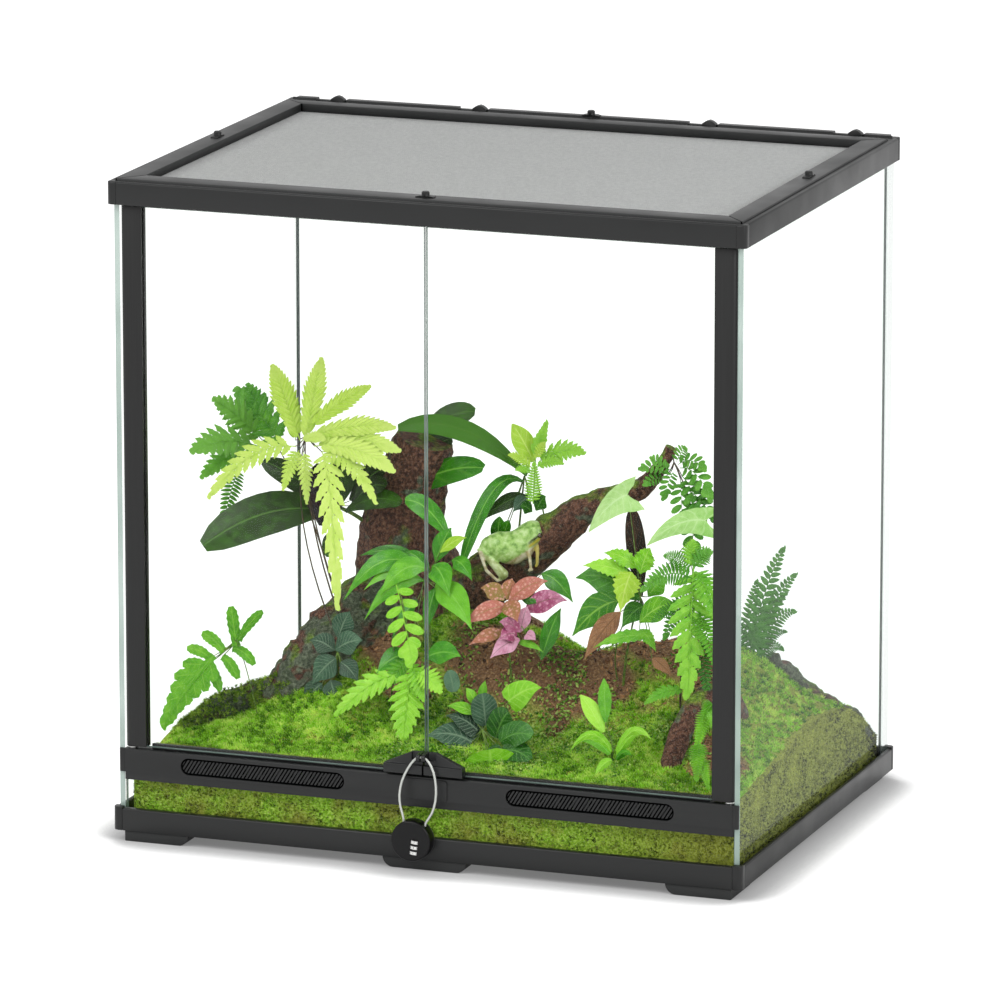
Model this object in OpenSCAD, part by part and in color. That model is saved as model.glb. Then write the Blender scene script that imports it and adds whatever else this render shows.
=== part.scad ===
// Front-opening glass terrarium on a plastic base, with a lift-off mesh cover,
// two hinged glass doors held by a cable combination lock, and a planted landscape.
// Millimetres, +Z up, doors face -Y.

/* [Tank] */
// Width of the top and base frames
width = 600; // [590:5:660]
// Depth of the top and base frames
depth = 450; // [440:5:500]
// Height of the side and back panes
pane_h = 582.5; // [540:2.5:640]
// Thickness of the fixed panes
glass_t = 5; // [4:0.5:6]
// Width of the frame wall outside a side pane
side_wall = 4.5; // [3.5:0.5:6]
// Width of the frame wall in front of and behind the panes
end_wall = 7; // [5:0.5:9]
// Leg of the silicone bead in a rear corner
silicone_leg = 3; // [2:0.5:5]

/* [Base frame] */
// Height of the feet
foot_h = 10; // [7:0.5:14]
// Height of the base frame
base_h = 20.7; // [16:0.1:26]
// Length of a corner foot along the frame
foot_l = 62; // [45:1:80]
// Length of the middle feet
mid_foot_l = 80; // [60:1:110]
// Width of a foot under the frame
foot_w = 22; // [16:1:30]
// Side of a corner piece
corner_leg = 9; // [7:0.5:12]
// Height of a corner piece above the rim
corner_rise = 1.2; // [0.5:0.1:2]

/* [Front rail and vents] */
// Height of the rail
rail_h = 21.7; // [18:0.1:26]
// Height of the rail's lower ledge
rail_ledge_h = 7.3; // [5:0.1:10]
// Height of the opening between the base frame and the rail
window_h = 26.3; // [20:0.1:40]
// Depth of the rail
rail_d = 14; // [12:0.5:18]
// Length of a vent
vent_l = 158; // [120:2:180]
// Height of a vent
vent_h = 15.6; // [10:0.1:16]
// Distance between the slats of a vent
slat_pitch = 4.6; // [4:0.1:7]

/* [Doors] */
// Thickness of the door glass
door_t = 4; // [3:0.5:5]
// Radius of a hinge pin
pin_r = 2; // [1.5:0.1:2.5]
// Length of a hinge pin inside the profile
pin_l = 14; // [10:1:20]
// Width of a hinge profile
profile_w = 20.5; // [18:0.5:26]
// Length of one half of the handle
handle_l = 36.8; // [30:0.2:50]
// Height of the handle at the seam
handle_h = 20; // [17:0.5:26]
// Height of the handle's lower band
handle_band_h = 8.5; // [7:0.5:12]

/* [Top frame and cover] */
// Height of the top frame
top_h = 20.9; // [18:0.1:26]
// Height of the cover bars
bar_h = 9.6; // [8:0.1:12]
// Width of the cover's side bars
bar_w = 19.8; // [16:0.2:24]
// Thickness of the mesh
mesh_t = 0.8; // [0.6:0.1:1.2]
// Depth of the fixed bar behind the cover
rear_bar_d = 22.5; // [20:0.5:26]
// Width of a cable port's notch
port_w = 29.4; // [26:0.2:34]
// Width of a port's shutter
shutter_w = 14.4; // [12:0.2:16]

/* [Lock] */
// Radius of the lock's round body
lock_r = 18.7; // [16:0.1:22]
// Thickness of the lock's body
lock_t = 12.4; // [11:0.1:15]
// Radius of a number dial
dial_r = 5; // [4.5:0.1:5.5]
// Thickness of a number dial
dial_t = 4.6; // [4:0.1:4.8]
// Diameter of the steel cable
cable_d = 2.4; // [2:0.1:2.8]

/* [Landscape] */
// Height of the moss bed at the front
bed_h = 65.3; // [50:0.1:80]
// Radius of the stump at its foot
stump_r = 62; // [50:1:75]
// Radius of the mossy log at its thick end
log_r = 27; // [20:1:34]
// Length of the frog
frog_l = 68; // [50:1:85]

/* [Hidden] */
$fn = 48;

// clearances
seat = 0.3;      // glass in a frame, cover in its rebate
run = 0.05;      // radial, pin in bore and shaft in dial
slide_play = 0.2; // shutter in its pocket

// fixed panes
pane_x = width / 2 - side_wall;          // outer face of a side pane
pane_y = depth / 2 - end_wall;           // outer face of the back pane, front edge of the sides
room_x = pane_x - glass_t;               // inner face of a side pane
ledge_t = 2.5;
ledge_z = foot_h + 2;
ledge_w = 30;
pane_z = ledge_z + ledge_t;
pane_top = pane_z + pane_h;
floor_top = pane_z + glass_t;
base_top = foot_h + base_h;

// front rail
rail_z = base_top + window_h;            // underside of the ledge
cap_z = rail_z + rail_ledge_h;           // underside of the rail's face
rail_top = cap_z + rail_h;
rail_y = -pane_y - 3;                    // front face
rail_step = 1.5;                         // the ledge stands this far behind the face
lip_h = 9;
lip_t = 3.6;
cap_w = 6;
vent_x = 156;
grille_t = 3;
slat_gap = 2.2;
slat_lean = 30;
air_gap = 3;

// doors
door_z = rail_top + 2;
door_top = pane_top - 12;
door_y = -pane_y + 1;                    // front face of the door glass
knuckle_r = 5.4;
hinge_x = room_x - knuckle_r - 0.6;
hinge_y = -pane_y + 4.7;
seam = 0.75;                             // half of the gap between the doors
collar_r = 4.5;
collar_gap = 0.5;
handle_t = 9;                            // lower band, in front of the glass
handle_plate_t = 6;
handle_flat = 11.5;
ear_w = 3.5;
ear_y = door_y - 12;                     // axis of the cable holes
ear_z = door_z + handle_h - 3;
ear_hole_r = 2.1;
ear_r = 3.5;

// top frame and cover
top_z1 = pane_top + 10.7;
top_z0 = top_z1 - top_h;
rebate_z = pane_top + 2.7;               // top of the ring that the cover rests on
rebate_x = width / 2 - 5.7;
rebate_y = depth / 2 - 6.5;
ring_x = room_x - 28.5;
ring_front = -pane_y + 28;
ring_rear = pane_y - 42;
bar_z = rebate_z + seat;
cover_top = bar_z + bar_h;
cover_x = rebate_x - 0.5;
cover_front = -rebate_y + 0.5;
cover_rear = depth / 2 - rear_bar_d - 0.5;
front_bar_w = bar_w + 2.2;
rear_bar_w = bar_w - 2.8;
mesh_z = bar_z + 1;
mesh_in = 3;                             // the mesh sits this deep in the bars
mitre_gap = 1.2;
tab_l = 12;
tab_w = 6;
tab_h = 4;
strip_h = 2;
peg_h = 5.4;
port_x = [for (x = [-256, -114.5, 111, 252]) x * rebate_x / 294.3];
shutter_d = 15;
shutter_t = 1.2;
pocket_y = cover_rear + 1.6;
neck_d = 7;

// lock, in its own frame: x across, y to the back, z up, origin in the back face's centre
lock_lean = 6.5;
lock_x = -7.6;
lock_y = -depth / 2 - seat;
lock_z = 29.5;
back_t = 2;
dial_x = 4;
dial_proud = 0.9;                        // a dial stands this far out of the case
dial_y = dial_r - dial_proud - lock_t;
dial_pitch = 5;
spindle_r = 1;
socket_x = 10.2;
socket_z = 12;
// the cable's way, with Y measured from the front of the base frame
cable_points = [
    [-16.4, -6.5, 42.6], [-16.1, -6.4, 48.6], [-19.2, -6, 59], [-20.3, -5.6, 70],
    [-18, -5.1, 83], [-12.4, -4.5, 95], [-7, -4.1, 102.5], [-2.8, -4, 105.2],
    [2.6, -4, 105.2], [7.2, -4.1, 101.8], [11.8, -4.5, 93], [14.3, -5.1, 80],
    [13.8, -5.6, 66.5], [10.6, -6, 55.5], [5, -6.4, 46.4], [3.9, -6.5, 40.3]
];

// the whole part is moved so that its origin is under the middle of its box
lock_front = lock_y - lock_t - dial_proud;
shift_y = -(lock_front + depth / 2) / 2;

// landscape: hills on the moss bed, each [x, y, height, radius along x, radius along y]
hills = [
    [-50, 35, 105, 125, 120], [-170, -45, 60, 105, 85], [190, 15, 85, 85, 130],
    [295, 235, -45, 70, 65], [-295, 125, -30, 100, 135], [40, -35, 35, 80, 40],
    [-295, -215, -25, 70, 65]
];
soil_in = 3.6;                           // the moss bed ends this far inside the panes
soil_front = rail_y + rail_d + 0.6;
soil_rear = pane_y - glass_t - soil_in;
// the landscape is drawn for a bed of x -286.9 to 286.9, y -206.4 to 209.4, then fitted
fit_x = (room_x - soil_in) / 286.9;
fit_y = (soil_rear - soil_front) / (206.4 + 209.4);
fit_z = pane_h / 582.5;
grid_x = 22;
grid_y = 16;
leaf_t = 1.6;
stem_d = 3;

stump_line = [
    [-84, 38, 158], [-92, 32, 182], [-99, 27, 215], [-103, 24, 255], [-101, 22, 295],
    [-92, 20, 336]
];
stump_radii = [stump_r, stump_r - 8, stump_r - 20, stump_r - 28, stump_r - 33, stump_r - 38];
log_line = [
    [-62, 22, 192], [-22, 12, 216], [15, 6, 243], [50, 0, 267], [85, 0, 292], [118, 0, 318],
    [158, 0, 354]
];
log_radii = [log_r - 3, log_r, log_r - 1, log_r - 5, log_r - 10, log_r - 14, log_r - 19];
root_line = [
    [236, -45, 118], [232, -70, 142], [222, -98, 146], [212, -124, 128], [207, -146, 98],
    [206, -160, 74]
];
root_radii = [9, 8, 7, 6.5, 6, 6];

// ---------- shared shapes ----------

// a rectangle with round corners
module round_rect(w, d, r) {
    square([w - 2 * r, d], center = true);
    square([w, d - 2 * r], center = true);
    for (sx = [-1, 1], sy = [-1, 1]) {
        translate([sx * (w / 2 - r), sy * (d / 2 - r)]) circle(r);
    }
}

// a box given by its two corners
module box(a, b) {
    translate(a) cube(b - a);
}

// the four corner squares of a frame, over a height
module corner_squares(z0, z1, extra = 0) {
    for (sx = [-1, 1], sy = [-1, 1]) {
        translate([sx * (width / 2 - corner_leg / 2 + extra / 2),
                   sy * (depth / 2 - corner_leg / 2 + extra / 2), (z0 + z1) / 2])
            cube([corner_leg + extra, corner_leg + extra, z1 - z0], center = true);
    }
}

// 45-degree cuts along the four upper outer edges of a frame
module upper_edge_cuts(z, c) {
    for (s = [-1, 1]) {
        translate([0, s * depth / 2, z]) rotate([45, 0, 0])
            cube([width + 20, c * sqrt(2), c * sqrt(2)], center = true);
        translate([s * width / 2, 0, z]) rotate([0, 45, 0])
            cube([c * sqrt(2), depth + 20, c * sqrt(2)], center = true);
    }
}

function unit(v) = v / norm(v);
function tangent(p, i) =
    unit(p[min(i + 1, len(p) - 1)] - p[max(i - 1, 0)]);
function across(t) = unit(cross(t, abs(t[2]) > 0.9 ? [0, 1, 0] : [0, 0, 1]));
function ring_points(c, t, r, n) =
    let (a = across(t), b = cross(a, t))
    [for (k = [0:n - 1]) c + r * (cos(360 * k / n) * a + sin(360 * k / n) * b)];

// a tube of round rings swept along a line of points
module swept(line, radii, n) {
    m = len(line);
    points = [
        for (i = [0:m - 1], p = ring_points(line[i], tangent(line, i), radii[i], n)) p
    ];
    sides = [
        for (i = [0:m - 2], k = [0:n - 1])
            [i * n + k, i * n + (k + 1) % n, (i + 1) * n + (k + 1) % n, (i + 1) * n + k]
    ];
    ends = [
        [for (k = [n - 1:-1:0]) k],
        [for (k = [0:n - 1]) (m - 1) * n + k]
    ];
    polyhedron(points, concat(sides, ends), convexity = 6);
}

// a smooth line through its points, with extra points between each two
function smooth_at(p, i, t) =
    let (
        a = p[max(i - 1, 0)], b = p[i], c = p[i + 1], d = p[min(i + 2, len(p) - 1)]
    )
    0.5 * (2 * b + (c - a) * t + (2 * a - 5 * b + 4 * c - d) * t * t
        + (3 * b - a - 3 * c + d) * t * t * t);
function smooth_line(p, n) = concat(
    [for (i = [0:len(p) - 2], k = [0:n - 1]) smooth_at(p, i, k / n)],
    [p[len(p) - 1]]
);

// height of the moss bed at a place
function hill(x, y, h) =
    h[2] * exp(-pow((x - h[0]) / h[3], 2) - pow((y - h[1]) / h[4], 2));
function hill_sum(x, y, i = 0) =
    i == len(hills) ? 0 : hill(x, y, hills[i]) + hill_sum(x, y, i + 1);
function ground(x, y) = bed_h + 14.7 + hill_sum(x, y);
function rooted(x, y) = [x, y, ground(x, y) - 4];

// moves a place on the drawn bed to its place in the tank
function spot(p) = [
    p[0] * fit_x, soil_front + (p[1] + 206.4) * fit_y, floor_top + (p[2] - 19.5) * fit_z
];

function fitted(line) = [for (p = line) spot(p)];

// one flat section of a leaf, square to its heading
module leaf_section(c, heading, w) {
    translate(c) rotate([0, 0, heading]) cube([0.8, w, leaf_t], center = true);
}

// a leaf from its base to its tip, arched upwards by bow
module leaf(from, to, w, bow = 4) {
    shares = [[0, 0.2], [0.35, 1], [0.72, 0.8], [1, 0.12]];
    d = to - from;
    heading = atan2(d[1], d[0]);
    for (i = [0:len(shares) - 2]) {
        hull() {
            for (s = [shares[i], shares[i + 1]]) {
                t = s[0];
                leaf_section(from + d * t + [0, 0, 4 * bow * t * (1 - t)], heading, w * s[1]);
            }
        }
    }
}

// a thin stem between two points
module stem(from, to, d = stem_d) {
    hull() {
        for (p = [from, to]) {
            translate(p) sphere(d / 2, $fn = 6);
        }
    }
}

// a plant: a stem from its root to its crown, and leaves given as [tip from crown, width, bow]
module plant(root, crown, leaves, d = stem_d) {
    stem(spot(root), spot(crown), d);
    for (l = leaves) {
        blade(crown, crown + l[0], l[1], l[2]);
    }
}

// a leaf whose places are on the drawn bed
module blade(from, to, w, bow) {
    leaf(spot(from), spot(to), w * fit_x, bow * fit_z);
}

module placed() {
    translate([0, shift_y, 0]) children();
}

// ---------- tank ----------

module base_solid() {
    inner = [2 * (pane_x + seat), 2 * (pane_y + seat)];
    difference() {
        translate([0, 0, foot_h]) linear_extrude(base_h) round_rect(width, depth, 5);
        translate([0, 0, pane_z + base_h / 2]) cube([inner[0], inner[1], base_h], center = true);
        translate([0, 0, foot_h])
            cube([inner[0] - 2 * ledge_w, inner[1] - 2 * ledge_w, base_h], center = true);
        translate([0, 0, foot_h + (ledge_z - foot_h) / 2 - 0.5])
            cube([inner[0], inner[1], ledge_z - foot_h + 1], center = true);
        upper_edge_cuts(base_top, 1);
    }
}

module base_frame() {
    color("#353535") difference() {
        base_solid();
        corner_squares(foot_h - 1, base_top + 1);
    }
}

module base_corners() {
    color("#2c2c2c") intersection() {
        union() {
            base_solid();
            difference() {
                translate([0, 0, base_top - 3]) linear_extrude(3 + corner_rise)
                    round_rect(width, depth, 5);
                cube([2 * (pane_x + seat), 2 * (pane_y + seat), 4 * base_top], center = true);
            }
        }
        corner_squares(foot_h - 1, base_top + 5);
    }
}

// one leg of a foot, along +X from the origin, with its far end rounded down to the floor
module foot_leg(l) {
    rotate([90, 0, 0]) linear_extrude(foot_w, center = true) {
        square([l - foot_h, foot_h]);
        intersection() {
            translate([l - foot_h, foot_h]) circle(foot_h);
            translate([l - foot_h, 0]) square(foot_h);
        }
    }
}

module feet() {
    edge_x = width / 2 - 10.5;
    edge_y = depth / 2 - 2;
    color("#3e3e3e") {
        for (sx = [0, 1], sy = [0, 1]) {
            mirror([sx, 0, 0]) mirror([0, sy, 0]) {
                translate([edge_x, edge_y - foot_w / 2, 0]) mirror([1, 0, 0]) foot_leg(foot_l);
                translate([edge_x - foot_w / 2, edge_y, 0]) rotate([0, 0, -90]) foot_leg(foot_l);
            }
        }
        for (s = [-1, 1], m = [0, 1]) {
            translate([0, s * (edge_y - foot_w / 2), 0]) mirror([m, 0, 0])
                foot_leg(mid_foot_l / 2);
        }
    }
}

module floor_glass() {
    color("#cfe6de", 0.5)
        box([-room_x + seat, -pane_y + glass_t + 1 + seat, pane_z],
            [room_x - seat, pane_y - glass_t - seat, floor_top]);
}

module side_glass(s) {
    color("#dfeeea", 0.35)
        translate([s * (pane_x - glass_t / 2), 0, pane_z + pane_h / 2])
            cube([glass_t, 2 * pane_y, pane_h], center = true);
}

module left_glass() {
    side_glass(-1);
}

module right_glass() {
    side_glass(1);
}

module back_glass() {
    color("#dfeeea", 0.35)
        box([-room_x + 0.2, pane_y - glass_t, pane_z], [room_x - 0.2, pane_y, pane_top]);
}

module front_lower_glass() {
    color("#dfeeea", 0.35)
        box([-room_x + seat, -pane_y + 1, pane_z],
            [room_x - seat, -pane_y + 1 + glass_t, rail_z + 5]);
}

module silicone_beads() {
    color("#e8efec", 0.6)
        for (m = [0, 1]) {
            mirror([m, 0, 0]) translate([room_x, pane_y - glass_t, floor_top])
                linear_extrude(pane_top - floor_top)
                    polygon([[0, 0], [-silicone_leg, 0], [0, -silicone_leg]]);
        }
}

// ---------- front rail ----------

// the outline of a vent, centred
module stadium(l, h) {
    square([l - h, h], center = true);
    for (s = [-1, 1]) {
        translate([s * (l - h) / 2, 0]) circle(h / 2);
    }
}

// turns an outline drawn in X and Z into a solid from y0 to y1
module upright(y0, y1) {
    translate([0, y1, 0]) rotate([90, 0, 0]) linear_extrude(y1 - y0) children();
}

module front_rail() {
    vent_z = cap_z + rail_h / 2 - 1;
    lip_x = hinge_x - profile_w + 2;
    color("#353535") difference() {
        union() {
            box([-room_x + seat, -pane_y, rail_z], [room_x - seat, rail_y + rail_d, rail_top]);
            box([-pane_x + cap_w, rail_y, cap_z], [pane_x - cap_w, -pane_y, rail_top]);
            box([-pane_x + cap_w, rail_y + rail_step, rail_z], [pane_x - cap_w, -pane_y, cap_z]);
            box([-lip_x, door_y + door_t + 0.4, rail_top - 1],
                [lip_x, door_y + door_t + 0.4 + lip_t, rail_top + lip_h]);
        }
        // groove for the lower pane
        box([-width, -pane_y + 1 - slide_play, rail_z - 1],
            [width, -pane_y + 1 + glass_t + slide_play, rail_z + 5 + slide_play]);
        for (s = [-1, 1]) {
            translate([s * vent_x, 0, vent_z]) {
                upright(rail_y - 1, rail_y + 3.2) stadium(vent_l, vent_h);
                // air slots behind the grille
                for (i = [-8:8]) {
                    translate([2 * i * slat_pitch, rail_y + rail_d / 2, 0])
                        cube([air_gap, rail_d + 2, vent_h - 6], center = true);
                }
            }
        }
        // chamfer along the face's upper edge
        translate([0, rail_y, rail_top]) rotate([45, 0, 0])
            cube([width, 1.4, 1.4], center = true);
    }
}

module rail_end_caps() {
    color("#2c2c2c") for (m = [0, 1]) {
        mirror([m, 0, 0]) translate([pane_x - cap_w, rail_y, cap_z]) linear_extrude(rail_h) {
            square([cap_w - 2.6, 3]);
            translate([0, 2.6]) square([cap_w - 0.3, 0.4]);
            intersection() {
                translate([cap_w - 2.9, 2.6]) circle(2.6);
                square([cap_w, 2.6]);
            }
        }
    }
}

module vent_grilles() {
    vent_z = cap_z + rail_h / 2 - 1;
    count = floor((vent_l - vent_h) / slat_pitch / 2);
    color("#1d1d1d") for (s = [-1, 1]) {
        translate([s * vent_x, 0, vent_z]) difference() {
            upright(rail_y + 3.2 - grille_t, rail_y + 3.2)
                stadium(vent_l - slide_play, vent_h - slide_play);
            for (i = [-count:count]) {
                translate([i * slat_pitch, rail_y + 2, 0]) rotate([0, slat_lean, 0])
                    cube([slat_gap, 8, vent_h - 4], center = true);
            }
        }
    }
}

module rail_plate() {
    color("#303030") translate([-1, 0, cap_z + rail_h / 2 - 1])
        upright(rail_y - 1, rail_y) round_rect(45, 19, 3);
}

// ---------- top frame ----------

module top_solid() {
    difference() {
        translate([0, 0, top_z0]) linear_extrude(top_h) round_rect(width, depth, 5);
        // inside of the skirt, up to the ring over the panes
        translate([0, 0, (top_z0 + pane_top) / 2 - 1])
            cube([2 * (pane_x + seat), 2 * (pane_y + seat), pane_top - top_z0 + 2], center = true);
        // rebate for the cover
        box([-rebate_x, -rebate_y, rebate_z],
            [rebate_x, cover_rear + 0.5, top_z1 + 1]);
        // opening
        box([-ring_x, ring_front, pane_top - 1], [ring_x, ring_rear, rebate_z + 1]);
        upper_edge_cuts(top_z1, 1.2);
    }
}

module top_frame() {
    color("#353535") difference() {
        union() {
            top_solid();
            // raised strip on the rear bar
            box([-rebate_x, pocket_y + shutter_d - 4, top_z1 - 1],
                [rebate_x, depth / 2 - 2, top_z1 + strip_h]);
        }
        corner_squares(top_z0 - 1, top_z1 + 5);
        for (x = port_x) {
            // notch in the strip
            translate([x, depth / 2, top_z1 + 2])
                cube([port_w, 60, 4], center = true);
            // pocket that the shutter slides in, open above by its neck
            box([x - port_w / 2, pocket_y, top_z1 - 0.8 - shutter_t - 2 * slide_play],
                [x + port_w / 2, pocket_y + shutter_d, top_z1 - 0.8]);
            box([x - port_w / 2, pocket_y + shutter_d - neck_d - slide_play, top_z1 - 1],
                [x + port_w / 2, pocket_y + shutter_d, top_z1 + 1]);
            // the port
            box([x + 1.5, pocket_y + 1.5, pane_top - 1],
                [x + shutter_w - 1.5, pane_y - glass_t - 0.6, top_z1 - 1.5]);
        }
    }
}

module top_corners() {
    color("#2c2c2c") intersection() {
        top_solid();
        corner_squares(top_z0 - 1, top_z1 + 5);
    }
}

module hinge_pins() {
    color("#8a8a8a") for (s = [-1, 1]) {
        translate([s * hinge_x, hinge_y, 0]) {
            translate([0, 0, rail_top]) cylinder(h = door_z - collar_gap - rail_top, r = collar_r);
            translate([0, 0, rail_top]) cylinder(h = door_z - rail_top + pin_l - 1, r = pin_r);
            translate([0, 0, door_top + collar_gap])
                cylinder(h = pane_top - door_top - collar_gap, r = collar_r);
            translate([0, 0, door_top - pin_l + 1])
                cylinder(h = pane_top - door_top + pin_l - 1, r = pin_r);
        }
    }
}

// a finger peg on a plinth, standing at the origin
module peg() {
    rotate([90, 0, 0]) linear_extrude(7, center = true)
        polygon([[-8.5, 0], [8.5, 0], [8.5, 0.8], [5, 1.6], [-5, 1.6], [-8.5, 0.8]]);
    translate([0, 0, 1]) cylinder(h = peg_h - 2, r = 3.6);
    translate([0, 0, peg_h - 1]) cylinder(h = 1, r1 = 3.6, r2 = 2.6);
}

module rear_peg() {
    color("#333333") translate([2, depth / 2 - 9, top_z1 + strip_h]) peg();
}

// ---------- doors ----------

// the right door's pieces; the left door's are their mirror image
module door_pane() {
    box([seam, door_y, door_z], [hinge_x - knuckle_r + 2, door_y + door_t, door_top]);
}

module hinge_profile() {
    inner_x = hinge_x + knuckle_r - profile_w;
    slot_x = hinge_x - knuckle_r + 2;
    difference() {
        union() {
            translate([hinge_x, hinge_y, door_z]) cylinder(h = door_top - door_z, r = knuckle_r);
            box([inner_x, hinge_y - knuckle_r, door_z],
                [hinge_x, hinge_y + knuckle_r - 0.1, door_top]);
        }
        box([inner_x - 1, door_y - run, door_z - 1],
            [slot_x + run, door_y + door_t + run, door_top + 1]);
        for (z = [door_z - 1, door_top - pin_l]) {
            translate([hinge_x, hinge_y, z]) cylinder(h = pin_l + 1, r = pin_r + run);
        }
    }
}

module handle() {
    low = door_z + 0.5;
    difference() {
        union() {
            upright(door_y - handle_plate_t, door_y)
                polygon([
                    [seam, low], [seam + handle_l, low],
                    [seam + handle_l, low + handle_band_h],
                    [handle_flat, low + handle_h], [seam, low + handle_h]
                ]);
            box([seam, door_y - handle_t, low], [seam + handle_l, door_y - 1, low + handle_band_h]);
            // ear for the lock's cable
            translate([seam, ear_y, ear_z]) rotate([0, 90, 0]) cylinder(h = ear_w, r = ear_r);
            box([seam, ear_y, ear_z - ear_r], [seam + ear_w, door_y - 1, ear_z + ear_r]);
        }
        translate([seam - 1, ear_y, ear_z]) rotate([0, 90, 0])
            cylinder(h = ear_w + 2, r = ear_hole_r);
        // the cable passes beside the ear
        box([seam + ear_w, ear_y - 3, ear_z - ear_r], [handle_flat, door_y - 2.5, ear_z + ear_r]);
    }
}

module right_door_glass() {
    color("#dfeeea", 0.35) door_pane();
}

module right_hinge_profile() {
    color("#333333") hinge_profile();
}

module right_handle() {
    color("#303030") handle();
}

module left_door_glass() {
    color("#dfeeea", 0.35) mirror([1, 0, 0]) door_pane();
}

module left_hinge_profile() {
    color("#333333") mirror([1, 0, 0]) hinge_profile();
}

module left_handle() {
    color("#303030") mirror([1, 0, 0]) handle();
}

// ---------- mesh cover ----------

// corners of the cover's outer and inner outline, seen from above
function cover_outer() = [
    [-cover_x, cover_front], [cover_x, cover_front], [cover_x, cover_rear], [-cover_x, cover_rear]
];
function cover_inner() = [
    [-cover_x + bar_w, cover_front + front_bar_w], [cover_x - bar_w, cover_front + front_bar_w],
    [cover_x - bar_w, cover_rear - rear_bar_w], [-cover_x + bar_w, cover_rear - rear_bar_w]
];

// a flat bar along the mitre at a corner, of a given width and length from the outer corner
module mitre_strip(i, w, l_in = 0) {
    a = cover_outer()[i];
    b = cover_inner()[i];
    d = b - a;
    translate(a + d / 2) rotate(atan2(d[1], d[0])) square([norm(d) + 8 - l_in, w], center = true);
}

module cover_outline() {
    difference() {
        polygon(cover_outer());
        polygon(cover_inner());
    }
}

// the tongues of a corner key, lying in both bars
module key_tongues(i, play) {
    a = cover_outer()[i];
    b = cover_inner()[i];
    c = (a + b) / 2;
    sx = a[0] > 0 ? -1 : 1;
    sy = a[1] > 0 ? -1 : 1;
    z = bar_z + 4.6;
    translate([c[0] + sx * tab_l / 2, c[1], z])
        cube([tab_l + 2 * play, tab_w + 2 * play, tab_h + 2 * play], center = true);
    translate([c[0], c[1] + sy * tab_l / 2, z])
        cube([tab_w + 2 * play, tab_l + 2 * play, tab_h + 2 * play], center = true);
}

module cover_frame() {
    color("#6e6e6e") difference() {
        translate([0, 0, bar_z]) linear_extrude(bar_h) difference() {
            cover_outline();
            for (i = [0:3]) {
                mitre_strip(i, mitre_gap);
            }
        }
        // groove for the mesh
        box([-cover_x + bar_w - mesh_in - 0.1, cover_front + front_bar_w - mesh_in - 0.1,
             mesh_z - 0.1],
            [cover_x - bar_w + mesh_in + 0.1, cover_rear - rear_bar_w + mesh_in + 0.1,
             mesh_z + mesh_t + 0.1]);
        for (i = [0:3]) {
            key_tongues(i, 0.1);
        }
    }
}

module cover_corner_keys() {
    color("#151515") difference() {
        union() {
            translate([0, 0, bar_z]) linear_extrude(bar_h - 0.4) intersection() {
                cover_outline();
                for (i = [0:3]) {
                    mitre_strip(i, mitre_gap - 0.1);
                }
            }
            for (i = [0:3]) {
                key_tongues(i, 0);
            }
        }
        box([-cover_x + bar_w - mesh_in - 0.1, cover_front + front_bar_w - mesh_in - 0.1,
             mesh_z - 0.1],
            [cover_x - bar_w + mesh_in + 0.1, cover_rear - rear_bar_w + mesh_in + 0.1,
             mesh_z + mesh_t + 0.1]);
    }
}

module cover_mesh() {
    color("#b0b0b0")
        box([-cover_x + bar_w - mesh_in, cover_front + front_bar_w - mesh_in, mesh_z],
            [cover_x - bar_w + mesh_in, cover_rear - rear_bar_w + mesh_in, mesh_z + mesh_t]);
}

module cover_pegs() {
    color("#333333") {
        for (s = [-1, 1]) {
            translate([s * (cover_x - bar_w / 2), 0, cover_top]) rotate([0, 0, 90]) peg();
        }
        translate([-3, cover_front + front_bar_w / 2, cover_top]) peg();
    }
}

// ---------- cable ports ----------

module port_shutter(i) {
    plate_z = top_z1 - 0.8 - slide_play - shutter_t;
    x0 = port_x[i] + port_w / 2 - seat - shutter_w;
    rear = pocket_y + shutter_d - slide_play;
    color("#2a2a2a") {
        box([x0, pocket_y + slide_play, plate_z], [x0 + shutter_w, rear, plate_z + shutter_t]);
        box([x0, rear - neck_d + slide_play, plate_z], [x0 + shutter_w, rear, top_z1 + 0.4]);
        translate([x0, 0, top_z1 + 0.4]) upright(rear - neck_d + slide_play, rear)
            polygon([
                [0, 0], [shutter_w, 0], [shutter_w - 0.8, 2.2], [shutter_w - 4, 4.4],
                [shutter_w / 2, 5.4], [4, 4.4], [0.8, 2.2]
            ]);
    }
}

// ---------- lock ----------

// puts a shape drawn in the lock's own frame in its place
module at_lock() {
    translate([lock_x, lock_y, lock_z]) rotate([0, lock_lean, 0]) children();
}

// a disc whose axis runs front to back, from y0 to y1
module disc(r, y0, y1) {
    translate([0, y1, 0]) rotate([90, 0, 0]) cylinder(h = y1 - y0, r = r);
}

module lock_case() {
    rim = 2;
    dials_top = dial_pitch / 2 + 0.3;
    dials_l = 3 * dial_pitch + 0.2;
    color("#242426") at_lock() difference() {
        union() {
            disc(lock_r, rim - lock_t, -back_t);
            disc(lock_r - rim, -lock_t, -back_t);
            translate([0, rim - lock_t, 0]) rotate([90, 0, 0])
                rotate_extrude() translate([lock_r - rim, 0]) circle(rim - 0.01);
        }
        translate([dial_x, dial_y, dials_top - dials_l]) cylinder(h = dials_l, r = dial_r + seat);
        box([dial_x - dial_r - seat, dial_y, dials_top - dials_l],
            [dial_x + dial_r + seat, -back_t + 1, dials_top]);
        translate([dial_x, dial_y, dials_top - dials_l - 2])
            cylinder(h = dials_l + 4, r = spindle_r + run);
        for (s = [-1, 1]) {
            translate([s * socket_x, -lock_t / 2, socket_z]) cylinder(h = 12, r = cable_d / 2 + 0.1);
        }
    }
}

module lock_back() {
    color("#1b1b1c") at_lock() difference() {
        disc(lock_r, -back_t, 0);
        disc(lock_r - 4, -0.4, 1);
    }
}

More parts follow.
